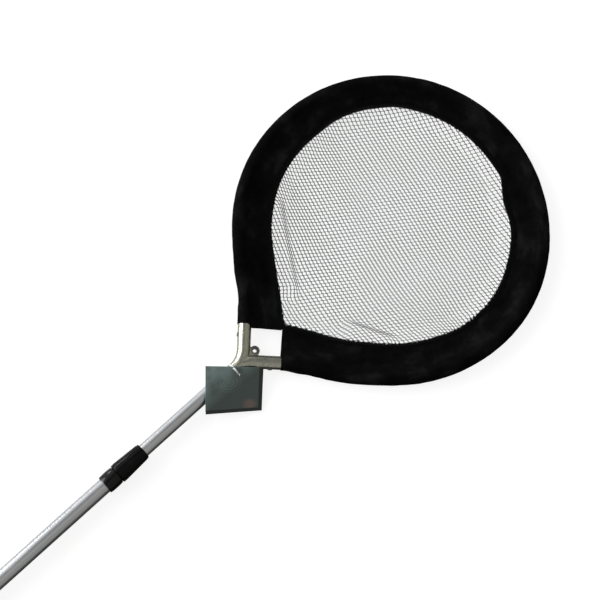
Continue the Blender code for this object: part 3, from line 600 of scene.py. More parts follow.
spots, inward, along = hoop_line(SLEEVE_ROWS)
widths = flap_width(spots, inward) + HEM_LAP
crotch = np.array((CROTCH_X - HOOP_X, 0.0))
on_arm = ease((ARM_LENGTH + ARM_BLEND - np.linalg.norm(spots - crotch, axis=1)) / ARM_BLEND)
radii = POCKET_RADIUS + ARM_SWELL * on_arm
sections = np.array([sleeve_section(radius, width) for radius, width in zip(radii, widths)])
inset, rise = sections[..., 0], sections[..., 1]
slack = np.zeros(SLEEVE_ROWS)
for direction, spread, out in SLEEVE_EASES:
    slack += out * bump(np.arctan2(spots[:, 1], spots[:, 0]), direction, spread)
to_end = np.minimum(along, LINE_LENGTH - along)
slack = (slack * ease(to_end / SLACK_BLEND))[:, None]
outside = np.clip(0.5 - inset / (2 * radii[:, None]), 0, 1)
inset = inset - slack * ease(outside)
rise = rise * (1 - SLACK_FLATTENS * slack * np.sqrt(outside))
print("Slack:", round(1000 * float(slack.max()), 1), "mm at most")

# %% [markdown]
# ## Folds in the sleeve
# Short puckers and slow waves grow from the tube towards the hem, and level off where the stitches hold
# the cloth. On the tube itself the cloth clings, with only slight rises.

# %% Sleeve folds
PUCKERS = (0.011, 0.014, 0.017, 0.023, 0.031)
PUCKER_HEIGHT = 0.0007
WAVES = (0.052, 0.083, 0.131, 0.210)
WAVE_HEIGHT = 0.0016
RISES = (0.024, 0.041, 0.067, 0.190)

rows = along[:, None]
share = np.clip((inset - 0.4 * radii[:, None]) / (widths - 0.4 * radii)[:, None], 0, 1)
puckers = folds(rows, 3 * share, PUCKERS, 3)
waves = folds(rows, 1.5 * share, WAVES, 5)
puckered = share * (1 - 0.55 * share) * PUCKER_HEIGHT * puckers
waved = share * (1 - 0.7 * share) * WAVE_HEIGHT * waves
rise = rise + puckered + waved
snug = folds(rows, 4 * np.arctan2(rise, inset), RISES, 8)
on_tube = np.clip(1 - share * 6, 0, 1)
inset = inset * (1 + 0.022 * on_tube * snug)
rise = rise * (1 + 0.018 * on_tube * snug)
for name, height in (("Puckers:", puckered), ("Waves:", waved)):
    print(name, round(1000 * float(height.max()), 2), "mm at most")

# %% [markdown]
# ## The sleeve's sheet
# Now every row is put in its place on the hoop. At its two ends the flap runs on past the tube's cloth,
# as the strip is cut there. The UV map follows the strip in metres, along and across, for the weave.

# %% Sleeve sheet
# How far the flap runs past the tube's cloth at each end of the sleeve, by the tube and at the hem
END_RUNS = ((0.0013, -0.0005), (0.0050, 0.0075))
END_BLEND = 0.05

cloth_spots = np.empty((*inset.shape, 3))
cloth_spots[..., :2] = spots[:, None, :] + inward[:, None, :] * inset[..., None]
for side, (at_tube, at_hem), from_end in zip((-1, 1), END_RUNS, (along, LINE_LENGTH - along)):
    run = (at_tube + (at_hem - at_tube) * share) * ease(share / 0.15)
    run = run * ease(1 - from_end / END_BLEND)[:, None]
    cloth_spots[..., 0] -= run * math.cos(LEG_ANGLE)
    cloth_spots[..., 1] -= side * run * math.sin(LEG_ANGLE)
cloth_spots[..., 0] += HOOP_X
cloth_spots[..., 2] = AXIS + rise
steps = np.linalg.norm(np.diff(cloth_spots, axis=1), axis=2)
across_way = np.concatenate((np.zeros((SLEEVE_ROWS, 1)), np.cumsum(steps, axis=1)), axis=1)
cloth_uv = np.stack((np.broadcast_to(rows, inset.shape), across_way), axis=2)
sleeve = sheet_mesh("sleeve_cloth", cloth_spots, False, cloth_uv)

# %% [markdown]
# ## The sleeve's finish
# The cloth is nearly black. A soft noise along the strip gives it paler and darker places, a finer one
# its nap, and two crossed ones the threads of the weave. Solidify gives the cloth its thickness.

# %% Sleeve finish
CLOTH = 0.0007
cloth = new_finish("black_cloth", (0.003, 0.003, 0.003), 0.8, Sheen_Weight=0.006, Specular_IOR_Level=0.025)
mottle = pattern(cloth, "ShaderNodeTexNoise", 0.042, "UV", (1.8, 1.0, 1.0), Detail=6.0, Roughness=0.60)
tint(
    cloth,
    mottle,
    (0.34, (0.0010, 0.0010, 0.0010)),
    (0.52, (0.0034, 0.0034, 0.0035)),
    (0.72, (0.0130, 0.0130, 0.0136)),
)
nap = pattern(cloth, "ShaderNodeTexNoise", 0.006, "UV", (1.0, 3.5, 1.0), Detail=4.0)
gloss(cloth, nap, 0.62, 0.95)
for direction in ((1, 8, 1), (8, 1, 1)):
    weave = pattern(cloth, "ShaderNodeTexNoise", 0.0007, "UV", direction, Detail=1.0)
    relief(cloth, weave, 0.0002, 0.6)
relief(cloth, nap, 0.0006, 0.5)

face_out(sleeve)
modify(sleeve, "SOLIDIFY", thickness=CLOTH, offset=-1.0)
hand_over(sleeve, cloth, "net_head", "net_sleeve", "net_sleeve", smooth=60)

# %% [markdown]
# ## The hem and its overlock stitch
# The inner edge of the band is a darker rolled tape, sewn over with thread that loops round the edge.
# The tape is a second sheet, closed on itself along the seam. The thread is a long coil: a round wire
# laid round the tape's inner edge, with only four sides, because there are hundreds of loops.

# %% Hem tape
HEM_ROWS = 900
HEM_COLUMNS = 16
HEM_HALF = 0.0015
HEM_OVERLAP = 0.001
# How ragged the hem's inner edge is, how much more so on one side, and which side
RAGGED = 0.0008
RAGGED_MORE = 0.0014
RAGGED_SIDE = math.radians(232)

turns = np.linspace(0, 2 * math.pi, HEM_ROWS, endpoint=False)
seam = seam_radius(turns)
hem_outer = seam_radius(turns, HEM_WIDTH, HEM_CORNER_WIDTH + 2 * HEM_OVERLAP) + HEM_OVERLAP
seam_along = turns * SEAM_RADIUS
ring = np.linspace(0, 2 * math.pi, HEM_COLUMNS + 1)
bulge = np.sign(np.cos(ring)) * np.abs(np.cos(ring)) ** 0.6
height = np.sign(np.sin(ring)) * np.abs(np.sin(ring)) ** 0.6
ragged = folds(seam_along[:, None], 0 * ring, (0.0063, 0.0072, 0.0081, 0.0095), 12)
roll = folds(seam_along[:, None], 2 * bulge, (0.011, 0.016, 0.024, 0.047), 14)
hem_middle = (seam + hem_outer) / 2
hem_half = (hem_outer - seam) / 2
tooth = RAGGED + RAGGED_MORE * ease(1.6 - away_from(turns, RAGGED_SIDE))
hem_radius = hem_middle[:, None] + hem_half[:, None] * bulge + tooth[:, None] * ragged * (bulge < 0)
hem_spots = np.empty((HEM_ROWS, HEM_COLUMNS + 1, 3))
hem_spots[..., 0] = HOOP_X + SEAM_MIDDLE[0] + hem_radius * np.cos(turns)[:, None]
hem_spots[..., 1] = SEAM_MIDDLE[1] + hem_radius * np.sin(turns)[:, None]
hem_spots[..., 2] = AXIS - FLAP_DROP + HEM_HALF * height * (1 + 0.12 * roll) + 0.0003 * roll
hem_way = np.linspace(0, 2 * HEM_WIDTH + 4 * HEM_HALF, HEM_COLUMNS + 1)
hem_uv = np.stack(np.broadcast_arrays(seam_along[:, None], hem_way), axis=2)
hem = sheet_mesh("hem_tape", hem_spots, True, hem_uv)

tape = new_finish("black_tape", (0.002, 0.002, 0.002), 0.85, Specular_IOR_Level=0.04)
ribs = pattern(tape, "ShaderNodeTexNoise", 0.0016, "UV", (1.0, 6.0, 1.0), Detail=3.0)
tint(tape, ribs, (0.35, (0.0010, 0.0010, 0.0011)), (0.7, (0.0038, 0.0038, 0.0040)))
gloss(tape, ribs, 0.7, 0.95)
relief(tape, ribs, 0.0005, 0.7)
face_out(hem, 0.00001)
hand_over(hem, tape, "net_head", "net_hem", "net_hem", smooth=60)

# %% Overlock thread
LOOPS = 560
LOOP_POINTS = 9
LOOP_INSET = 0.0028
LOOP_REACH = 0.0034
LOOP_DROP = 0.0020
THREAD_RADIUS = 0.00042


def wire(name, points, outward, radius):
    """A four-sided wire along a closed line of points."""
    ways = np.roll(points, -1, axis=0) - np.roll(points, 1, axis=0)
    ways /= np.linalg.norm(ways, axis=1)[:, None]
    side = np.cross(ways, outward)
    side /= np.linalg.norm(side, axis=1)[:, None]
    out = np.cross(side, ways)
    corners = np.stack([points + radius * spoke for spoke in (out, side, -out, -side, out)], axis=1)
    piece = sheet_mesh(name, corners, True, np.zeros((*corners.shape[:2], 2)))
    face_out(piece, 0.000001)
    return piece


turns = np.arange(LOOPS * LOOP_POINTS) / (LOOPS * LOOP_POINTS) * 2 * math.pi
coil = turns * LOOPS
uneven = folds(turns * SEAM_RADIUS, 0, (0.013, 0.029, 0.071), 21)
reach = seam_radius(turns) + LOOP_INSET + (LOOP_REACH + 0.0007 * uneven) * np.cos(coil)
drop = (LOOP_DROP + 0.0001 * uneven) * np.sin(coil)
thread_x = HOOP_X + SEAM_MIDDLE[0] + reach * np.cos(turns)
thread_y = SEAM_MIDDLE[1] + reach * np.sin(turns)
thread_points = np.stack((thread_x, thread_y, AXIS - FLAP_DROP + drop), axis=1)
outward = np.stack((np.cos(coil) * np.cos(turns), np.cos(coil) * np.sin(turns), np.sin(coil)), axis=1)
overlock = wire("hem_thread", thread_points, outward, THREAD_RADIUS)
yarn = new_finish("black_yarn", (0.003, 0.003, 0.003), 0.6, Specular_IOR_Level=0.2)
fuzz = pattern(yarn, "ShaderNodeTexNoise", 0.0012, Detail=3.0)
tint(yarn, fuzz, (0.35, (0.0012, 0.0012, 0.0013)), (0.7, (0.0060, 0.0060, 0.0064)))
relief(yarn, fuzz, 0.0003, 0.6)
hand_over(overlock, yarn, "net_head", "net_hem", smooth=80)

# %% [markdown]
# ## The knitted net
# The net is a fine knit: thick chains run down it, thin links cross from chain to chain, and a small knot
# sits where they meet. One cell could be modelled and repeated, but the knit has to follow the pan's
# shape as one sheet. So the cells are laid out flat and then let down from the hem to the floor. On two
# sides the wall folds down steeply, as it does in use, so this step works out how the sheet lies.

# %% The net's lie
NET_TOP = AXIS - FLAP_DROP
NET_FLOOR = 0.0009
WALL_WIDTH = 0.030
LEDGE_WIDTH = 0.02
LEDGE_DROP = 0.2
FOLD_BLEND = 0.03
# The two folded sides of the wall: which way the fold faces in degrees, how far it lies from the
# seam's middle, where it starts and ends along its line, its width, and how much net it takes up
Fold = namedtuple("Fold", "facing distance start end width slack")
WALL_FOLDS = (
    Fold(147.7, 0.196, -0.100, 0.110, 0.016, 0.011),
    Fold(207.5, 0.200, -0.030, 0.092, 0.015, 0.008),
)


def fold_place(x, y, fold):
    """How far a place lies beyond a fold, and how strong the fold is there."""
    facing = math.radians(fold.facing)
    beyond = x * math.cos(facing) + y * math.sin(facing) - fold.distance
    along = y * math.cos(facing) - x * math.sin(facing)
    return beyond, ease((along - fold.start) / FOLD_BLEND) * ease((fold.end - along) / FOLD_BLEND)


def net_height(x, y):
    """How high the net lies at a place about the seam's middle."""
    angles = np.arctan2(y, x)
    inside = seam_radius(angles) - np.hypot(x, y)
    down = ease((inside - 0.001) / WALL_WIDTH)
    ledge = LEDGE_DROP * np.clip(inside / LEDGE_WIDTH, 0, 1)
    for fold in WALL_FOLDS:
        beyond, strength = fold_place(x, y, fold)
        raised = strength * ease(beyond / fold.width + 0.5)
        down = down * (1 - raised) + ledge * raised
    ripple = folds(angles * SEAM_RADIUS, 0, (0.043, 0.071, 0.118), 31)
    ripple = ripple * 0.0012 * np.sin(math.pi * np.clip(inside / WALL_WIDTH, 0, 1))
    sag = 0.0010 * (1 + np.sin(23 * x + 9 * y) * np.sin(17 * y - 11 * x + 1))
    sag = sag * np.clip((down - 0.9) * 10, 0, 1)
    return NET_FLOOR + (NET_TOP - NET_FLOOR) * (1 - down) + ripple + sag


def laid(flat):
    """Where points of the flat knit lie once the folds have taken up their share of it."""
    for fold in WALL_FOLDS:
        reach, strength = fold_place(flat[:, 0], flat[:, 1], fold)
        near, far = reach - fold.slack, reach.copy()
        for _ in range(25):
            middle = (near + far) / 2
            short = middle + fold.slack * strength * ease(middle / fold.width + 0.5) < reach
            near = np.where(short, middle, near)
            far = np.where(short, far, middle)
        facing = math.radians(fold.facing)
        flat = flat - (reach - near)[:, None] * np.array((math.cos(facing), math.sin(facing)))
    return flat


middle_height = net_height(np.zeros(1), np.zeros(1))[0]
print("Net's middle lies", round(1000 * float(middle_height), 1), "mm high")

# %% [markdown]
# ## Laying out the cells
# Each cell is a six-sided outline with two very short sides, which are the knots, and its links have a
# point in the middle. The cells are drifted a little, since no knit is quite even, and laid on the pan.
# Wireframe then turns every edge into yarn, and a vertex group makes it thin at the links' middles.

# %% Knit cells
CHAIN_PITCH = 0.00706
ROW_PITCH = 0.00772
CHAIN_WAY = math.radians(79.4)
ROW_WAY = math.radians(-34.8)
KNOT_SPREAD = 0.35
YARN_WIDTH = 0.0019
LINK_SHARE = 0.48
LINK_MIDDLES = (1, 5)


def way(angle, length):
    """A flat step of this length in a direction."""
    return length * np.array((math.cos(angle), math.sin(angle)))


chain = way(CHAIN_WAY, CHAIN_PITCH)
row = way(ROW_WAY, ROW_PITCH)
aside = way(CHAIN_WAY - math.pi / 2, 1.0)


def past(distance):
    """Distances above zero, with a soft start."""
    return (distance + np.hypot(distance, 0.02)) / 2


def drift(flat):
    """Slow bends of the chains, and cells of uneven size."""
    x, y = flat.T
    off = flat @ aside
    down = flat @ way(CHAIN_WAY, -1.0)
    slow = 0.0007 * np.sin(29 * y + 8 * x + 0.6) + 0.0005 * np.sin(61 * x - 23 * y)
    slow += 0.10 * past(-down - 0.02) * ease((0.03 - off) / 0.15)
    slow += 0.10 * past(-down) * ease((-0.115 - off) / 0.08)
    slow += 0.18 * past(down - 0.125) * ease((0.02 - off) / 0.10)
    fast = 0.00018 * np.stack((np.sin(640 * x + 410 * y), np.sin(530 * y - 770 * x)), axis=1)
    return flat + slow[:, None] * aside + fast


spread = KNOT_SPREAD * (chain - row) / 6
cell = [(chain + row) / 2 + spread, (chain - row) / 2 - spread, -(chain + row) / 2 + spread]
cell += [-spot for spot in cell]
outline = [cell[0], (cell[0] + cell[1]) / 2, *cell[1:4], (cell[3] + cell[4]) / 2, *cell[4:]]
reach = int(1.7 * SEAM_RADIUS / CHAIN_PITCH)
middles = [i * chain + j * row for i in range(-reach, reach + 1) for j in range(-reach, reach + 1)]
middles = np.array([spot for spot in middles if np.hypot(*spot) < 1.3 * SEAM_RADIUS])
shown = laid(drift(middles))
middles = middles[np.hypot(*shown.T) < seam_radius(np.arctan2(shown[:, 1], shown[:, 0])) + 0.004]
knit_spots = laid(drift((middles[:, None, :] + np.array(outline)).reshape(-1, 2)))
knit_spots = np.column_stack((knit_spots, net_height(knit_spots[:, 0], knit_spots[:, 1])))
knit_spots[:, 0] += HOOP_X + SEAM_MIDDLE[0]
knit_spots[:, 1] += SEAM_MIDDLE[1]
cells = np.arange(len(knit_spots)).reshape(-1, len(outline))
mesh = bpy.data.meshes.new("knit_net")
mesh.from_pydata(knit_spots.tolist(), [], cells.tolist())
net = bpy.data.objects.new("knit_net", mesh)
bpy.context.scene.collection.objects.link(net)
yarn_width = net.vertex_groups.new(name="yarn_width")
yarn_width.add(cells.ravel().tolist(), 1.0, "REPLACE")
yarn_width.add(cells[:, LINK_MIDDLES].ravel().tolist(), LINK_SHARE, "REPLACE")
print("Knit cells:", len(cells))

edit(net)
bpy.ops.mesh.remove_doubles(threshold=0.00005)
leave_edit()
modify(
    net,
    "WIREFRAME",
    thickness=YARN_WIDTH,
    use_even_offset=False,
    use_boundary=True,
    vertex_group="yarn_width",
)
face_out(net)
knit = new_finish("black_knit", (0.006, 0.006, 0.006), 0.7, Specular_IOR_Level=0.2)
strands = pattern(knit, "ShaderNodeTexNoise", 0.0014, Detail=3.0)
tint(knit, strands, (0.35, (0.003, 0.003, 0.003)), (0.7, (0.011, 0.011, 0.012)))
relief(knit, strands, 0.0003, 0.6)
hand_over(net, knit, "net_head", "net_mesh", "net_floor", "net_wall", smooth=60)
yarn_area = sum(face.area for face in net.data.polygons) / 2
print("Yarn area:", round(yarn_area, 4), "m2")

# %% [markdown]
# ## Turned pieces
# Poles, lock, cap and rivets are all round. On a lathe you would cut a profile. In Blender you can spin
# one, or do as here: start from a ring, extrude it to the next height, and resize it to the next
# radius. A profile that comes back to its start makes a tube, and one that doesn't is capped.

# %% A helper for turned pieces
def turn(name, profile, sides, place, axis=(1, 0, 0)):
    """A round piece through (height, radius) stations, standing at place on its axis."""
    height, radius = profile[0]
    bpy.ops.object.select_all(action="DESELECT")
    bpy.ops.mesh.primitive_circle_add(vertices=sides, radius=radius, location=(0, 0, height))
    piece = bpy.context.object
    piece.name = name
    bpy.ops.object.transform_apply(location=True)
    edit(piece)
    for next_height, next_radius in profile[1:]:
        bpy.ops.mesh.extrude_region_move(TRANSFORM_OT_translate={"value": (0, 0, next_height - height)})
        grow = next_radius / radius
        bpy.ops.transform.resize(value=(grow, grow, 1), center_override=(0, 0, next_height))
        height, radius = next_height, next_radius
    bpy.ops.mesh.select_all(action="SELECT")
    bpy.ops.mesh.remove_doubles(threshold=0.000001)
    close_ends()
    piece.rotation_euler = Vector(axis).to_track_quat("Z", "Y").to_euler()
    piece.location = place
    bpy.ops.object.transform_apply(location=True, rotation=True)
    return piece


def tube(outer, wall, start, end):
    """The profile of a plain tube."""
    return [(start, outer), (end, outer), (end, outer - wall), (start, outer - wall), (start, outer)]


ON_AXIS = (0, 0, AXIS)
print("Axis at", round(AXIS, 4))

# %% [markdown]
# ## Telescopic poles
# Two drawn aluminium tubes slide in each other. Drawing leaves fine lines along a tube, which blur the
# highlight across it but not along it. The finish stretches a fine noise along the pole for its tone and
# a very slight bump. A coarser noise, as from handling, varies the roughness.

# %% Drawn aluminium
POLE_WALL = 0.0012
drawn = new_finish("drawn_aluminium", (0.70, 0.71, 0.73), 0.30, Metallic=1.0)
lines = pattern(drawn, "ShaderNodeTexNoise", 0.0006, "Object", (900, 1, 1), Detail=3.0)
tint(drawn, lines, (0.30, (0.60, 0.61, 0.63)), (0.70, (0.76, 0.77, 0.79)))
handling = pattern(drawn, "ShaderNodeTexNoise", 0.018, "Object", (3, 1, 1), Detail=5.0)
gloss(drawn, handling, 0.24, 0.38)
relief(drawn, lines, 0.00004, 0.5)


def pole(node, body):
    """One tube of the pole, as long and wide as its node."""
    low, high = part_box(node)
    radius = (high.z - low.z) / 2
    piece = turn(node + "_tube", tube(radius, POLE_WALL, low.x, high.x), 96, ON_AXIS)
    soften(piece, 0.0003, 2)
    hand_over(piece, drawn, body, "pole", node)


pole("inner_pole", "net_head")
pole("outer_pole", "handle")

# %% [markdown]
# ## The cast yoke
# The yoke is a casting: two hollow arms that take the hoop's ends, a neck, a thicker stem for the pole,
# and an eye in the corner to hang the net by, on a small web. Its parts flow into each other. Each part
# is drawn as a simple solid, all are joined, and a fine voxel remesh melts them together, as in one
# mould. Smoothing rounds the corners, and the bores are cut afterwards, so that they stay crisp.

# %% Yoke blanks
ARM_RADIUS = 0.0127
ARM_BEND = 0.055
NECK_RADIUS = 0.0130
NECK_END = 0.0300
STEM_RADIUS = 0.0146
STEM_START = 0.0325
EYE_REACH = 0.029
EYE_RADIUS = 0.0095
EYE_HALF = 0.0045
EYE_HOLE = 0.00375
WEB_RADIUS = 0.006
WEB_SHARE = 0.72


def leg_way(side):
    """The direction of the left leg, side 1, or the right one, side -1."""
    return Vector((math.cos(LEG_ANGLE), side * math.sin(LEG_ANGLE), 0))


profile = [(-0.002, NECK_RADIUS), (-NECK_END, NECK_RADIUS)]
profile += [(-STEM_START, STEM_RADIUS), (-STEM_END, STEM_RADIUS)]
stem = turn("yoke_casting", profile, 72, (CROTCH_X, 0, AXIS))
lead = ARM_BEND * math.tan(LEG_ANGLE / 2)
blanks = [stem]
for side in (1, -1):
    bpy.ops.mesh.primitive_circle_add(
        vertices=72, radius=ARM_RADIUS, location=(CROTCH_X - lead, 0, AXIS), rotation=(0, math.pi / 2, 0)
    )
    arm = bpy.context.object
    bpy.ops.object.transform_apply(location=True, rotation=True)
    edit(arm)
    bpy.ops.mesh.spin(
        steps=14, angle=LEG_ANGLE, center=(CROTCH_X - lead, side * ARM_BEND, AXIS), axis=(0, 0, -side)
    )
    bpy.ops.mesh.extrude_region_move(TRANSFORM_OT_translate={"value": leg_way(side) * (ARM_LENGTH - lead)})
    close_ends()
    blanks.append(arm)
crotch_spot = Vector((CROTCH_X, 0, AXIS))
eye_spot = crotch_spot + Vector((EYE_REACH, 0, 0))
web_spot = crotch_spot.lerp(eye_spot, WEB_SHARE)
for name, spot, radius in (("eye_boss", eye_spot, EYE_RADIUS), ("eye_web", web_spot, WEB_RADIUS)):
    blanks.append(turn(name, [(-EYE_HALF, radius), (EYE_HALF, radius)], 64, spot, (0, 0, 1)))
print("Blanks:", len(blanks))

# %% Yoke casting
CAST_VOXEL = 0.0008
POLE_FIT = 0.0128
POLE_SOCKET = 0.044
HOOP_FIT = 0.0113
HOOP_SOCKET_START = 0.032
CUT_PAST = 0.01

only(stem)
for blank in blanks:
    blank.select_set(True)
bpy.ops.object.join()
yoke = bpy.context.object
modify(yoke, "REMESH", mode="VOXEL", voxel_size=CAST_VOXEL)
modify(yoke, "SMOOTH", factor=0.5, iterations=10)


def bore(piece, radius, start, end):
    """Drills a round hole from start to end."""
    start, end = Vector(start), Vector(end)
    bpy.ops.object.select_all(action="DESELECT")
    bpy.ops.mesh.primitive_cylinder_add(vertices=64, radius=radius, depth=(end - start).length)
    drill = bpy.context.object
    drill.location = (start + end) / 2
    drill.rotation_euler = (end - start).to_track_quat("Z", "Y").to_euler()
    bpy.ops.object.transform_apply(location=True, rotation=True)
    modify(piece, "BOOLEAN", object=drill, operation="DIFFERENCE")
    bpy.data.objects.remove(drill, do_unlink=True)


through = Vector((0, 0, 2 * CUT_PAST))
bore(yoke, EYE_HOLE, eye_spot - through, eye_spot + through)
socket_start = crotch_spot - Vector((STEM_END - POLE_SOCKET, 0, 0))
bore(yoke, POLE_FIT, socket_start, crotch_spot - Vector((STEM_END + CUT_PAST, 0, 0)))
for side in (1, -1):
    leg = leg_way(side)
    bore(yoke, HOOP_FIT, crotch_spot + leg * HOOP_SOCKET_START, crotch_spot + leg * (ARM_LENGTH + CUT_PAST))
print("Casting:", len(yoke.data.polygons), "faces")

# %% Cast finish
# Painted shade: the casting's colour is darkened round the eye in the yoke's corner, about this spot, from
# the far radius to the near one
EYE_PAINTED_SHADE = eye_spot + Vector((0.006, 0, 0))
EYE_PAINTED_SHADE_FAR = 0.0150
EYE_PAINTED_SHADE_NEAR = 0.0100


def distance_from(material, place, spot):
    """A value that grows with the distance from a spot."""
    gap = material.node_tree.nodes.new("ShaderNodeVectorMath")
    gap.operation = "DISTANCE"
    gap.inputs[1].default_value = spot
    material.node_tree.links.new(place, gap.inputs[0])
    return gap.outputs["Value"]


cast = new_finish("cast_aluminium", (0.50, 0.49, 0.45), 0.30, Metallic=1.0)
skin = pattern(cast, "ShaderNodeTexNoise", 0.004, Detail=6.0, Roughness=0.6)
metal = tint(cast, skin, (0.30, (0.39, 0.38, 0.30)), (0.65, (0.57, 0.57, 0.48)))
cast_place = cast.node_tree.nodes.new("ShaderNodeTexCoord")
eye_shade_distance = distance_from(cast, cast_place.outputs["Object"], EYE_PAINTED_SHADE)
# Painted shade round the eye: a dark grey laid over the casting's own colour
overlay(cast, metal, (0.17, 0.16, 0.15), eye_shade_distance, EYE_PAINTED_SHADE_FAR, EYE_PAINTED_SHADE_NEAR, 0.85)
polish = pattern(cast, "ShaderNodeTexNoise", 0.014, Detail=4.0)
gloss(cast, polish, 0.18, 0.30)
relief(cast, skin, 0.00012, 0.5)
hand_over(yoke, cast, "net_head", "yoke", "yoke", smooth=50)

# %% [markdown]
# ## Rivets and pins
# A blind rivet on each arm holds the hoop, and two flush pins hold the pole in the stem. A rivet's head
# is a low dome with the dent that its broken stalk leaves. The pins sit in drilled holes, so the holes
# are bored first, in the yoke and later in the lock.

# %% Rivets and stem pins
RIVET_REACH = 0.050
RIVET_RADIUS = 0.0047
RIVET_SHANK = 0.0024
PIN_CHAMFER = 0.0003

satin = new_finish("satin_aluminium", (0.60, 0.61, 0.62), 0.35, Metallic=1.0)
scuffs = pattern(satin, "ShaderNodeTexNoise", 0.0015, Detail=5.0)
tint(satin, scuffs, (0.3, (0.48, 0.48, 0.48)), (0.7, (0.66, 0.66, 0.67)))
gloss(satin, scuffs, 0.25, 0.45)
steel = new_finish("pin_steel", (0.50, 0.50, 0.51), 0.35, Metallic=1.0)
rubbed = pattern(steel, "ShaderNodeTexNoise", 0.0012, Detail=4.0)
tint(steel, rubbed, (0.3, (0.34, 0.33, 0.32)), (0.7, (0.55, 0.55, 0.56)))
gloss(steel, rubbed, 0.28, 0.5)

for side, word in ((1, "left"), (-1, "right")):
    base = crotch_spot + RIVET_REACH * leg_way(side)
    out = Vector((-math.sin(LEG_ANGLE), side * math.cos(LEG_ANGLE), 0))
    seat = ARM_RADIUS + 0.0002
    profile = [
        (seat - 0.0020, RIVET_SHANK),
        (seat, RIVET_SHANK),
        (seat, 0.97 * RIVET_RADIUS),
        (seat + 0.0004, RIVET_RADIUS),
        (seat + 0.0008, 0.90 * RIVET_RADIUS),
        (seat + 0.0012, 0.66 * RIVET_RADIUS),
        (seat + 0.0014, 0.34 * RIVET_RADIUS),
        (seat + 0.0013, 0.27 * RIVET_RADIUS),
        (seat + 0.0005, 0.24 * RIVET_RADIUS),
    ]
    rivet = turn("rivet_" + word, profile, 40, base, out)
    hand_over(rivet, satin, "net_head", "rivet", "hoop_rivet_" + word, smooth=40)


def pin(node, body, holder):
    """A flush pin in a drilled hole of its holder."""
    low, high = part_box(node)
    middle = (low + high) / 2
    radius = (high.x - low.x) / 2
    half = (high.z - low.z) / 2
    out = Vector((0, 0, 1 if middle.z > AXIS else -1))
    bore(holder, radius + PIN_CHAMFER, middle - out * half, middle + out * 3 * half)
    profile = [(-half, radius), (half - PIN_CHAMFER, radius), (half, radius - PIN_CHAMFER)]
    piece = turn(node + "_end", profile, 32, middle, out)
    hand_over(piece, steel, body, "pin", node, smooth=40)


pin("stem_pin_upper", "net_head", yoke)
pin("stem_pin_lower", "net_head", yoke)

# %% [markdown]
# ## The twist lock
# A black ferrule is pinned on the outer pole and carries a threaded snout. The nut screws on the snout
# and squeezes a split ring on the inner pole. The thread is a small wedge that Screw winds up the
# snout. The nut's grooves are picked as faces, inset and pushed in, and a bevel rounds their edges.

# %% Lock body
LOCK_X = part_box("lock_nut")[1].x
SNOUT_TIP = -0.024
SNOUT_RADIUS = 0.0152
SNOUT_CHAMFER = 0.0006
FERRULE_START = -0.0655
FERRULE_LENGTH = 0.029
FERRULE_RADIUS = 0.0170
FERRULE_SWELL = 0.0013
FERRULE_STEPS = 18
POLE_SHOULDER = -0.0669
OUTER_FIT = 0.0150
lock_place = (LOCK_X, 0, AXIS)

profile = [(SNOUT_TIP, POLE_FIT), (SNOUT_TIP, SNOUT_RADIUS - SNOUT_CHAMFER)]
profile += [(SNOUT_TIP - SNOUT_CHAMFER, SNOUT_RADIUS), (FERRULE_START, SNOUT_RADIUS)]
for step in range(FERRULE_STEPS + 1):
    angle = math.pi * step / FERRULE_STEPS
    x = FERRULE_START - FERRULE_LENGTH * (1 - math.cos(angle)) / 2
    profile.append((x, FERRULE_RADIUS + FERRULE_SWELL * math.sin(angle)))
profile += [(FERRULE_START - FERRULE_LENGTH, OUTER_FIT), (POLE_SHOULDER, OUTER_FIT)]
profile += [(POLE_SHOULDER, POLE_FIT), (SNOUT_TIP, POLE_FIT)]
lock_body = turn("lock_ferrule", profile, 96, lock_place)
soften(lock_body, 0.0004, 3, 50)
print("Ferrule:", round(1000 * lock_body.dimensions.x, 1), "mm long")

# %% Lock thread and finish
THREAD_START = 0.056
THREAD_PITCH = 0.005
THREAD_TURNS = 2
THREAD_ROOT = 0.0148
THREAD_CREST = 0.0162
ROOT_HALF = 0.0013
CREST_HALF = 0.0006

bpy.ops.object.select_all(action="DESELECT")
bpy.ops.mesh.primitive_plane_add(size=1)
ridge = bpy.context.object
wedge = [(THREAD_ROOT, -ROOT_HALF), (THREAD_CREST, -CREST_HALF)]
wedge += [(THREAD_CREST, CREST_HALF), (THREAD_ROOT, ROOT_HALF)]
order = sorted(ridge.data.vertices, key=lambda corner: math.atan2(corner.co.y, corner.co.x))
for vertex, (radius, x) in zip(order, wedge):
    vertex.co = (radius, 0, x)
edit(ridge)
bpy.ops.mesh.delete(type="ONLY_FACE")
leave_edit()
modify(
    ridge, "SCREW", axis="Z", steps=48, render_steps=48, iterations=THREAD_TURNS, screw_offset=THREAD_PITCH
)
edit(ridge)
close_ends()
ridge.rotation_euler = (0, math.pi / 2, 0)
ridge.location = (LOCK_X - THREAD_START, 0, AXIS)
bpy.ops.object.transform_apply(location=True, rotation=True)
only(lock_body)
ridge.select_set(True)
bpy.ops.object.join()


def moulded(name, shine):
    """Black plastic with the slight flow marks of its mould."""
    plastic = new_finish(name, (0.002, 0.002, 0.002), 0.25, Specular_IOR_Level=shine)
    flow = pattern(plastic, "ShaderNodeTexNoise", 0.006, Detail=4.0)
    tint(plastic, flow, (0.3, (0.001, 0.001, 0.001)), (0.7, (0.003, 0.003, 0.003)))
    gloss(plastic, flow, 0.06, 0.12)
    grain = pattern(plastic, "ShaderNodeTexNoise", 0.0005, Detail=2.0)
    relief(plastic, grain, 0.00006, 0.2)
    return plastic


pin("lock_pin", "handle", lock_body)
hand_over(lock_body, moulded("ferrule_black", 0.32), "handle", "lock_body", "lock_body", smooth=40)

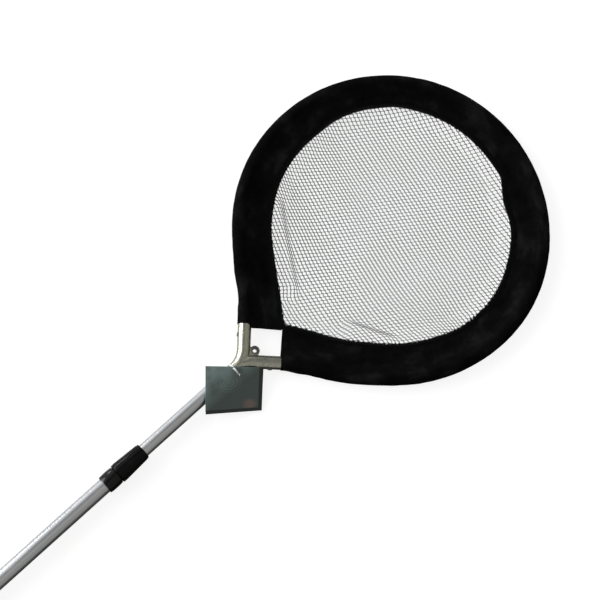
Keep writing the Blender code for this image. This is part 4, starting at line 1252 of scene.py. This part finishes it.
# %% Lock nut
NUT_LENGTH = 0.064
NUT_NOSE = 0.0157
NUT_BASE = 0.0192
NUT_CAVITY = 0.0166
NUT_SEAT = 0.0149
SEAT_START = 0.0050
SEAT_END = 0.0225
NUT_RIBS = 20
RIB_SIDES = 6
GROOVE_SHARE = 0.34
GROOVE_DEPTH = 0.0004
NOSE_LENGTH = 0.0045
BASE_LENGTH = 0.0050

profile = [
    (0, POLE_FIT),
    (0, NUT_NOSE - 0.0010),
    (-0.0010, NUT_NOSE),
    (-NOSE_LENGTH, NUT_NOSE + 0.0003),
    (-NUT_LENGTH + BASE_LENGTH, NUT_BASE - 0.0002),
    (-NUT_LENGTH + 0.0009, NUT_BASE - 0.0001),
    (-NUT_LENGTH, NUT_BASE - 0.0010),
    (-NUT_LENGTH, NUT_CAVITY),
    (-SEAT_END, NUT_CAVITY),
    (-SEAT_END, NUT_SEAT),
    (-SEAT_START, NUT_SEAT),
    (-SEAT_START, POLE_FIT),
    (0, POLE_FIT),
]


def in_groove(spot, normal):
    """Whether a face of the nut lies in one of the grooves between its ribs."""
    radius = math.hypot(spot.y, spot.z - AXIS)
    sector = math.atan2(spot.z - AXIS, spot.y) / (2 * math.pi) * NUT_RIBS
    between = LOCK_X - NUT_LENGTH + BASE_LENGTH < spot.x < LOCK_X - NOSE_LENGTH
    faces_out = normal.x > -0.5 and normal.dot(Vector((0, spot.y, spot.z - AXIS))) > 0
    return between and radius > NUT_NOSE - 0.0005 and faces_out and sector % 1 < GROOVE_SHARE


nut = turn("twist_nut", profile, NUT_RIBS * RIB_SIDES, lock_place)
edit(nut)
pick_faces(nut, in_groove)
bpy.ops.mesh.inset(thickness=0.0003)
bpy.ops.transform.shrink_fatten(value=GROOVE_DEPTH)
leave_edit()
soften(nut, 0.0003, 2, 25)
hand_over(nut, moulded("nut_black", 0.15), "nut", "lock_nut", "lock_nut", smooth=40)

# %% [markdown]
# ## The foam grip and the end cap
# A soft foam tube is pushed over the pole's butt, with rings pressed in so that it doesn't slip in a wet
# hand, and a plug closes the pole's end. Both are turned. The foam's rings are rounded hollows, so a
# few stations of a cosine make each one.

# %% Grip
GRIP_RADIUS = 0.0176
GRIP_BORE = 0.0150
GRIP_ROUND = 0.0020
RING_COUNT = 4
RING_SPACING = 0.030
RING_WIDTH = 0.006
RING_DEPTH = 0.0008

grip_low, grip_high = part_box("hand_grip")
grip_middle = (grip_low.x + grip_high.x) / 2
rounding = []
for step in range(7):
    angle = math.pi / 2 * step / 6
    rounding.append((GRIP_ROUND * (1 - math.cos(angle)), GRIP_RADIUS - GRIP_ROUND * (1 - math.sin(angle))))
profile = [(grip_low.x, GRIP_BORE)]
profile += [(grip_low.x + run, radius) for run, radius in rounding]
for ring_number in range(RING_COUNT):
    ring_x = grip_middle + RING_SPACING * (ring_number - (RING_COUNT - 1) / 2)
    for step in range(9):
        part = step / 8 - 0.5
        profile.append((ring_x + RING_WIDTH * part, GRIP_RADIUS - RING_DEPTH * math.cos(math.pi * part) ** 2))
profile += [(grip_high.x - run, radius) for run, radius in reversed(rounding)]
profile += [(grip_high.x, GRIP_BORE), (grip_low.x, GRIP_BORE)]
grip = turn("foam_grip", profile, 96, ON_AXIS)

foam = new_finish("black_foam", (0.012, 0.012, 0.013), 0.85, Specular_IOR_Level=0.25)
pores = pattern(foam, "ShaderNodeTexVoronoi", 0.0011)
cloud = pattern(foam, "ShaderNodeTexNoise", 0.020, Detail=4.0)
tint(foam, cloud, (0.3, (0.008, 0.008, 0.009)), (0.7, (0.018, 0.018, 0.019)))
gloss(foam, cloud, 0.7, 0.95)
relief(foam, pores, 0.0004, 0.6)
hand_over(grip, foam, "handle", "hand_grip", "hand_grip", smooth=60)

# %% End cap
cap_low, cap_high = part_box("end_cap")
CAP_RADIUS = (cap_high.z - cap_low.z) / 2
CAP_DISC = 0.004
CAP_DIMPLE = 0.0088
PLUG_RADIUS = 0.0132

cap = turn(
    "butt_cap",
    [
        (cap_high.x, PLUG_RADIUS - 0.001),
        (cap_high.x - 0.002, PLUG_RADIUS),
        (cap_low.x + CAP_DISC, PLUG_RADIUS),
        (cap_low.x + CAP_DISC, CAP_RADIUS),
        (cap_low.x, CAP_RADIUS),
        (cap_low.x, CAP_DIMPLE),
        (cap_low.x + 0.0006, CAP_DIMPLE - 0.0006),
    ],
    96,
    ON_AXIS,
)
soften(cap, 0.0009, 4, 40)
cap_finish = new_finish("cap_plastic", (0.014, 0.014, 0.015), 0.5)
grain = pattern(cap_finish, "ShaderNodeTexNoise", 0.0008, Detail=3.0)
wear = pattern(cap_finish, "ShaderNodeTexNoise", 0.008, Detail=5.0)
tint(cap_finish, wear, (0.3, (0.010, 0.010, 0.011)), (0.7, (0.022, 0.022, 0.023)))
gloss(cap_finish, wear, 0.4, 0.65)
relief(cap_finish, grain, 0.0001, 0.5)
hand_over(cap, cap_finish, "handle", "end_cap", "end_cap", smooth=40)

# %% [markdown]
# ## The swing tag
# A white plastic strap goes round the yoke's neck and through the hole of a folded card. The card starts
# as a grid in its own plane. Its top edge is extruded over to make the fold and the leaf behind, and
# Solidify gives it thickness. A card is never quite flat or square, so the leaves are bowed a little and
# their left side is drawn out. The frame's tag hangs turned about the neck, so both pieces are made
# upright and then put in that place.

# %% Tag card
TAG_WIDTH = 0.106
TAG_HEIGHT = 0.080
TAG_LEAF = 0.0005
TAG_GAP = 0.0005
TAG_BACK_SHORT = 0.004
TAG_LOW = 0.0149
TAG_TURN = math.radians(42)
TAG_RISE = 0.0070
TAG_LEAN = math.radians(21.05)
TIE_REACH = 0.0245
FOLD_STEPS = 6
BACK_STEPS = 26

tag_frame = Matrix.Translation((CROTCH_X - TIE_REACH, 0, AXIS)) @ Matrix.Rotation(TAG_LEAN, 4, "X")
tag_top = tag_frame @ Matrix.Rotation(-TAG_TURN, 4, "Z") @ Matrix.Translation((0, TAG_RISE, 0))

bpy.ops.object.select_all(action="DESELECT")
bpy.ops.mesh.primitive_grid_add(x_subdivisions=36, y_subdivisions=28, size=1, calc_uvs=True)
card = bpy.context.object
card.name = "folded_card"
card.scale = (TAG_WIDTH, TAG_HEIGHT - TAG_LEAF / 2, 1)
bpy.ops.object.transform_apply(scale=True)
upper = TAG_LOW + 1.5 * TAG_LEAF + TAG_GAP
edit(card)
bpy.ops.transform.translate(value=(0, -(TAG_HEIGHT + TAG_LEAF / 2) / 2, upper))
bpy.ops.mesh.select_all(action="DESELECT")
shape = bmesh.from_edit_mesh(card.data)
for vertex in shape.verts:
    vertex.select_set(vertex.co.y > -TAG_LEAF)
shape.select_flush(True)
bmesh.update_edit_mesh(card.data)
fold = TAG_LEAF + TAG_GAP
for step in range(FOLD_STEPS):
    near, far = math.pi * step / FOLD_STEPS, math.pi * (step + 1) / FOLD_STEPS
    rise = fold / 2 * (math.cos(far) - math.cos(near))
    run = TAG_LEAF / 2 * (math.sin(far) - math.sin(near))
    bpy.ops.mesh.extrude_region_move(TRANSFORM_OT_translate={"value": (0, run, rise)})
length = (TAG_HEIGHT - TAG_BACK_SHORT - TAG_LEAF / 2) / BACK_STEPS
for step in range(BACK_STEPS):
    bpy.ops.mesh.extrude_region_move(TRANSFORM_OT_translate={"value": (0, -length, 0)})
bpy.ops.mesh.select_all(action="SELECT")
bpy.ops.mesh.normals_make_consistent(inside=False)
leave_edit()
print("Card:", [round(1000 * x, 1) for x in card.dimensions])

# %% Tag's bow, thickness and hole
TAG_BOW = 0.0016
TAG_CURL = 0.0007
BACK_BOW_SHARE = 0.45
# How far the left side is drawn out and up at the top, and how far that changes down to the bottom
LEFT_OUT = 0.0054
LEFT_OUT_LESS = 0.0030
LEFT_UP = 0.0013
LEFT_UP_LESS = 0.0093
RIGHT_IN = 0.0011
TIE_BASE = 0.0139
TIE_BULGE = 0.0062
TAG_HOLE = 0.0033


def tie_spot(angle):
    """A point on the strap's line about the neck, at an angle from its top."""
    radius = TIE_BASE + TIE_BULGE * max(math.cos(angle), 0) ** 4
    return Vector((0, radius * math.sin(angle), radius * math.cos(angle)))


for vertex in card.data.vertices:
    drop = -vertex.co.y / TAG_HEIGHT
    off = 2 * vertex.co.x / TAG_WIDTH
    bowed = 1.0 if vertex.co.z > upper - fold / 2 else BACK_BOW_SHARE
    vertex.co.z += bowed * (TAG_BOW * drop * drop * (0.8 + 0.5 * off) + TAG_CURL * off * off)
    left = (1 - off) / 2
    vertex.co.x -= left * (LEFT_OUT - LEFT_OUT_LESS * drop) + RIGHT_IN * drop * (1 - left)
    vertex.co.y += left * (LEFT_UP - LEFT_UP_LESS * drop)
modify(card, "SOLIDIFY", thickness=TAG_LEAF, offset=0.0)
card.matrix_world = tag_top
only(card)
bpy.ops.object.transform_apply(location=True, rotation=True)
near, far = 0.0, math.pi / 2
card_height = TAG_LOW + fold / 2 + TAG_LEAF / 2
while far - near > 0.0001:
    middle = (near + far) / 2
    near, far = (middle, far) if tie_spot(middle).z > card_height else (near, middle)
hole_spot = tie_spot(-near)
through = Vector((0, 0, 0.006))
bore(card, TAG_HOLE, tag_frame @ (hole_spot - through), tag_frame @ (hole_spot + through))
print("Card's hole:", [round(1000 * x, 1) for x in hole_spot], "mm from the neck's middle")

# %% [markdown]
# ## The tag's print
# The card has a plain print: a slate ground that is paler at one corner, faint rings and a warm patch.
# Its colour is also made darker along the leaf's right and bottom edges. An image could be laid on, but a
# few distances on the leaf's UV map are enough to mix it.

# %% Tag finish
PRINT_SLATE = (0.074, 0.092, 0.087)
PRINT_PALE = (0.280, 0.380, 0.365)
CARD_EDGE_DARK = (0.026, 0.030, 0.029)
PRINT_WARM = (0.200, 0.135, 0.115)
# Places on the card's leaf, from its lower left corner, as shares of its width and height
WARM_PLACE = (0.78, 0.17, 0)
RINGS_PLACE = (0.40, 0.66, 0)
RING_GAP = 0.03

printed = new_finish("coated_card", PRINT_SLATE, 0.40, Specular_IOR_Level=0.3)
nodes = printed.node_tree.nodes
links = printed.node_tree.links
leaf_place = nodes.new("ShaderNodeUVMap")
leaf_place.uv_map = "UVMap"
parts = nodes.new("ShaderNodeSeparateXYZ")
links.new(leaf_place.outputs["UV"], parts.inputs["Vector"])
slope = nodes.new("ShaderNodeMath")
slope.operation = "SUBTRACT"
links.new(parts.outputs["Y"], slope.inputs[0])
links.new(parts.outputs["X"], slope.inputs[1])
from_warm = distance_from(printed, leaf_place.outputs["UV"], WARM_PLACE)
from_rings = distance_from(printed, leaf_place.outputs["UV"], RINGS_PLACE)

mist = pattern(printed, "ShaderNodeTexNoise", 0.030, Detail=3.0)
tone = tint(printed, slope.outputs[0], (0.0, PRINT_SLATE), (0.9, PRINT_PALE))
tone = overlay(printed, tone, PRINT_SLATE, mist, 0.40, 0.75, 0.7)
ripples = nodes.new("ShaderNodeMath")
ripples.operation = "PINGPONG"
ripples.inputs[1].default_value = RING_GAP
links.new(from_rings, ripples.inputs[0])
rings = overlay(printed, tone, PRINT_PALE, ripples.outputs[0], 0.022, RING_GAP, 0.35)
tone = overlay(printed, rings, tone, from_rings, 0.15, 0.28)
tone = overlay(printed, tone, PRINT_WARM, from_warm, 0.16, 0.04, 0.7)
# The colour is made darker along the leaf's right and bottom edges
tone = overlay(printed, tone, CARD_EDGE_DARK, parts.outputs["X"], 0.925, 0.94)
overlay(printed, tone, CARD_EDGE_DARK, parts.outputs["Y"], 0.085, 0.07)
gloss(printed, mist, 0.32, 0.48)
fibre = pattern(printed, "ShaderNodeTexNoise", 0.0009, Detail=2.0)
relief(printed, fibre, 0.00005, 0.4)
hand_over(card, printed, "tag", "tag_card", "tag_card", smooth=40)

# %% Tag's tie
TIE_WIDTH = 0.0036
TIE_THICKNESS = 0.0012
TIE_ROWS = 120
TIE_COLUMNS = 16

line = np.array([tie_spot(2 * math.pi * i / TIE_ROWS) for i in range(TIE_ROWS)])
ways = np.roll(line, -1, axis=0) - np.roll(line, 1, axis=0)
ways /= np.linalg.norm(ways, axis=1)[:, None]
out = np.cross((1, 0, 0), ways) * -1
ring = np.linspace(0, 2 * math.pi, TIE_COLUMNS + 1)
wide = TIE_WIDTH / 2 * np.sign(np.cos(ring)) * np.abs(np.cos(ring)) ** 0.5
thick = TIE_THICKNESS / 2 * np.sign(np.sin(ring)) * np.abs(np.sin(ring)) ** 0.5
strap_spots = line[:, None, :] + out[:, None, :] * thick[:, None] + np.array((1.0, 0, 0)) * wide[:, None]
strap = sheet_mesh("tag_strap", strap_spots, True, np.zeros((TIE_ROWS, TIE_COLUMNS + 1, 2)))
face_out(strap, 0.00001)
strap.matrix_world = tag_frame
white = new_finish("white_plastic", (0.80, 0.81, 0.81), 0.35)
cloudy = pattern(white, "ShaderNodeTexNoise", 0.004, Detail=3.0)
tint(white, cloudy, (0.3, (0.74, 0.75, 0.75)), (0.7, (0.86, 0.86, 0.86)))
gloss(white, cloudy, 0.28, 0.45)
hand_over(strap, white, "tag", "tag_tie", "tag_tie", smooth=60)

# %% [markdown]
# ## Pieces that stay as the frame made them
# The hoop's tube, the guide bush and the split ring are nearly all hidden, and their solids are fine
# enough for what shows at the tube's ends. They keep their meshes and only get a finish.

# %% Hidden pieces
nylon = new_finish("white_nylon", (0.72, 0.72, 0.69), 0.4)
milky = pattern(nylon, "ShaderNodeTexNoise", 0.003, Detail=3.0)
tint(nylon, milky, (0.3, (0.66, 0.66, 0.62)), (0.7, (0.78, 0.78, 0.75)))
gloss(nylon, milky, 0.32, 0.5)
for name, finish in (("hoop_tube", drawn), ("guide_bush", nylon), ("lock_collet", nylon)):
    node = bpy.data.objects[name]
    for place in node.material_slots:
        place.link = "OBJECT"
        place.material = finish
    print(name, "finish:", finish.name)
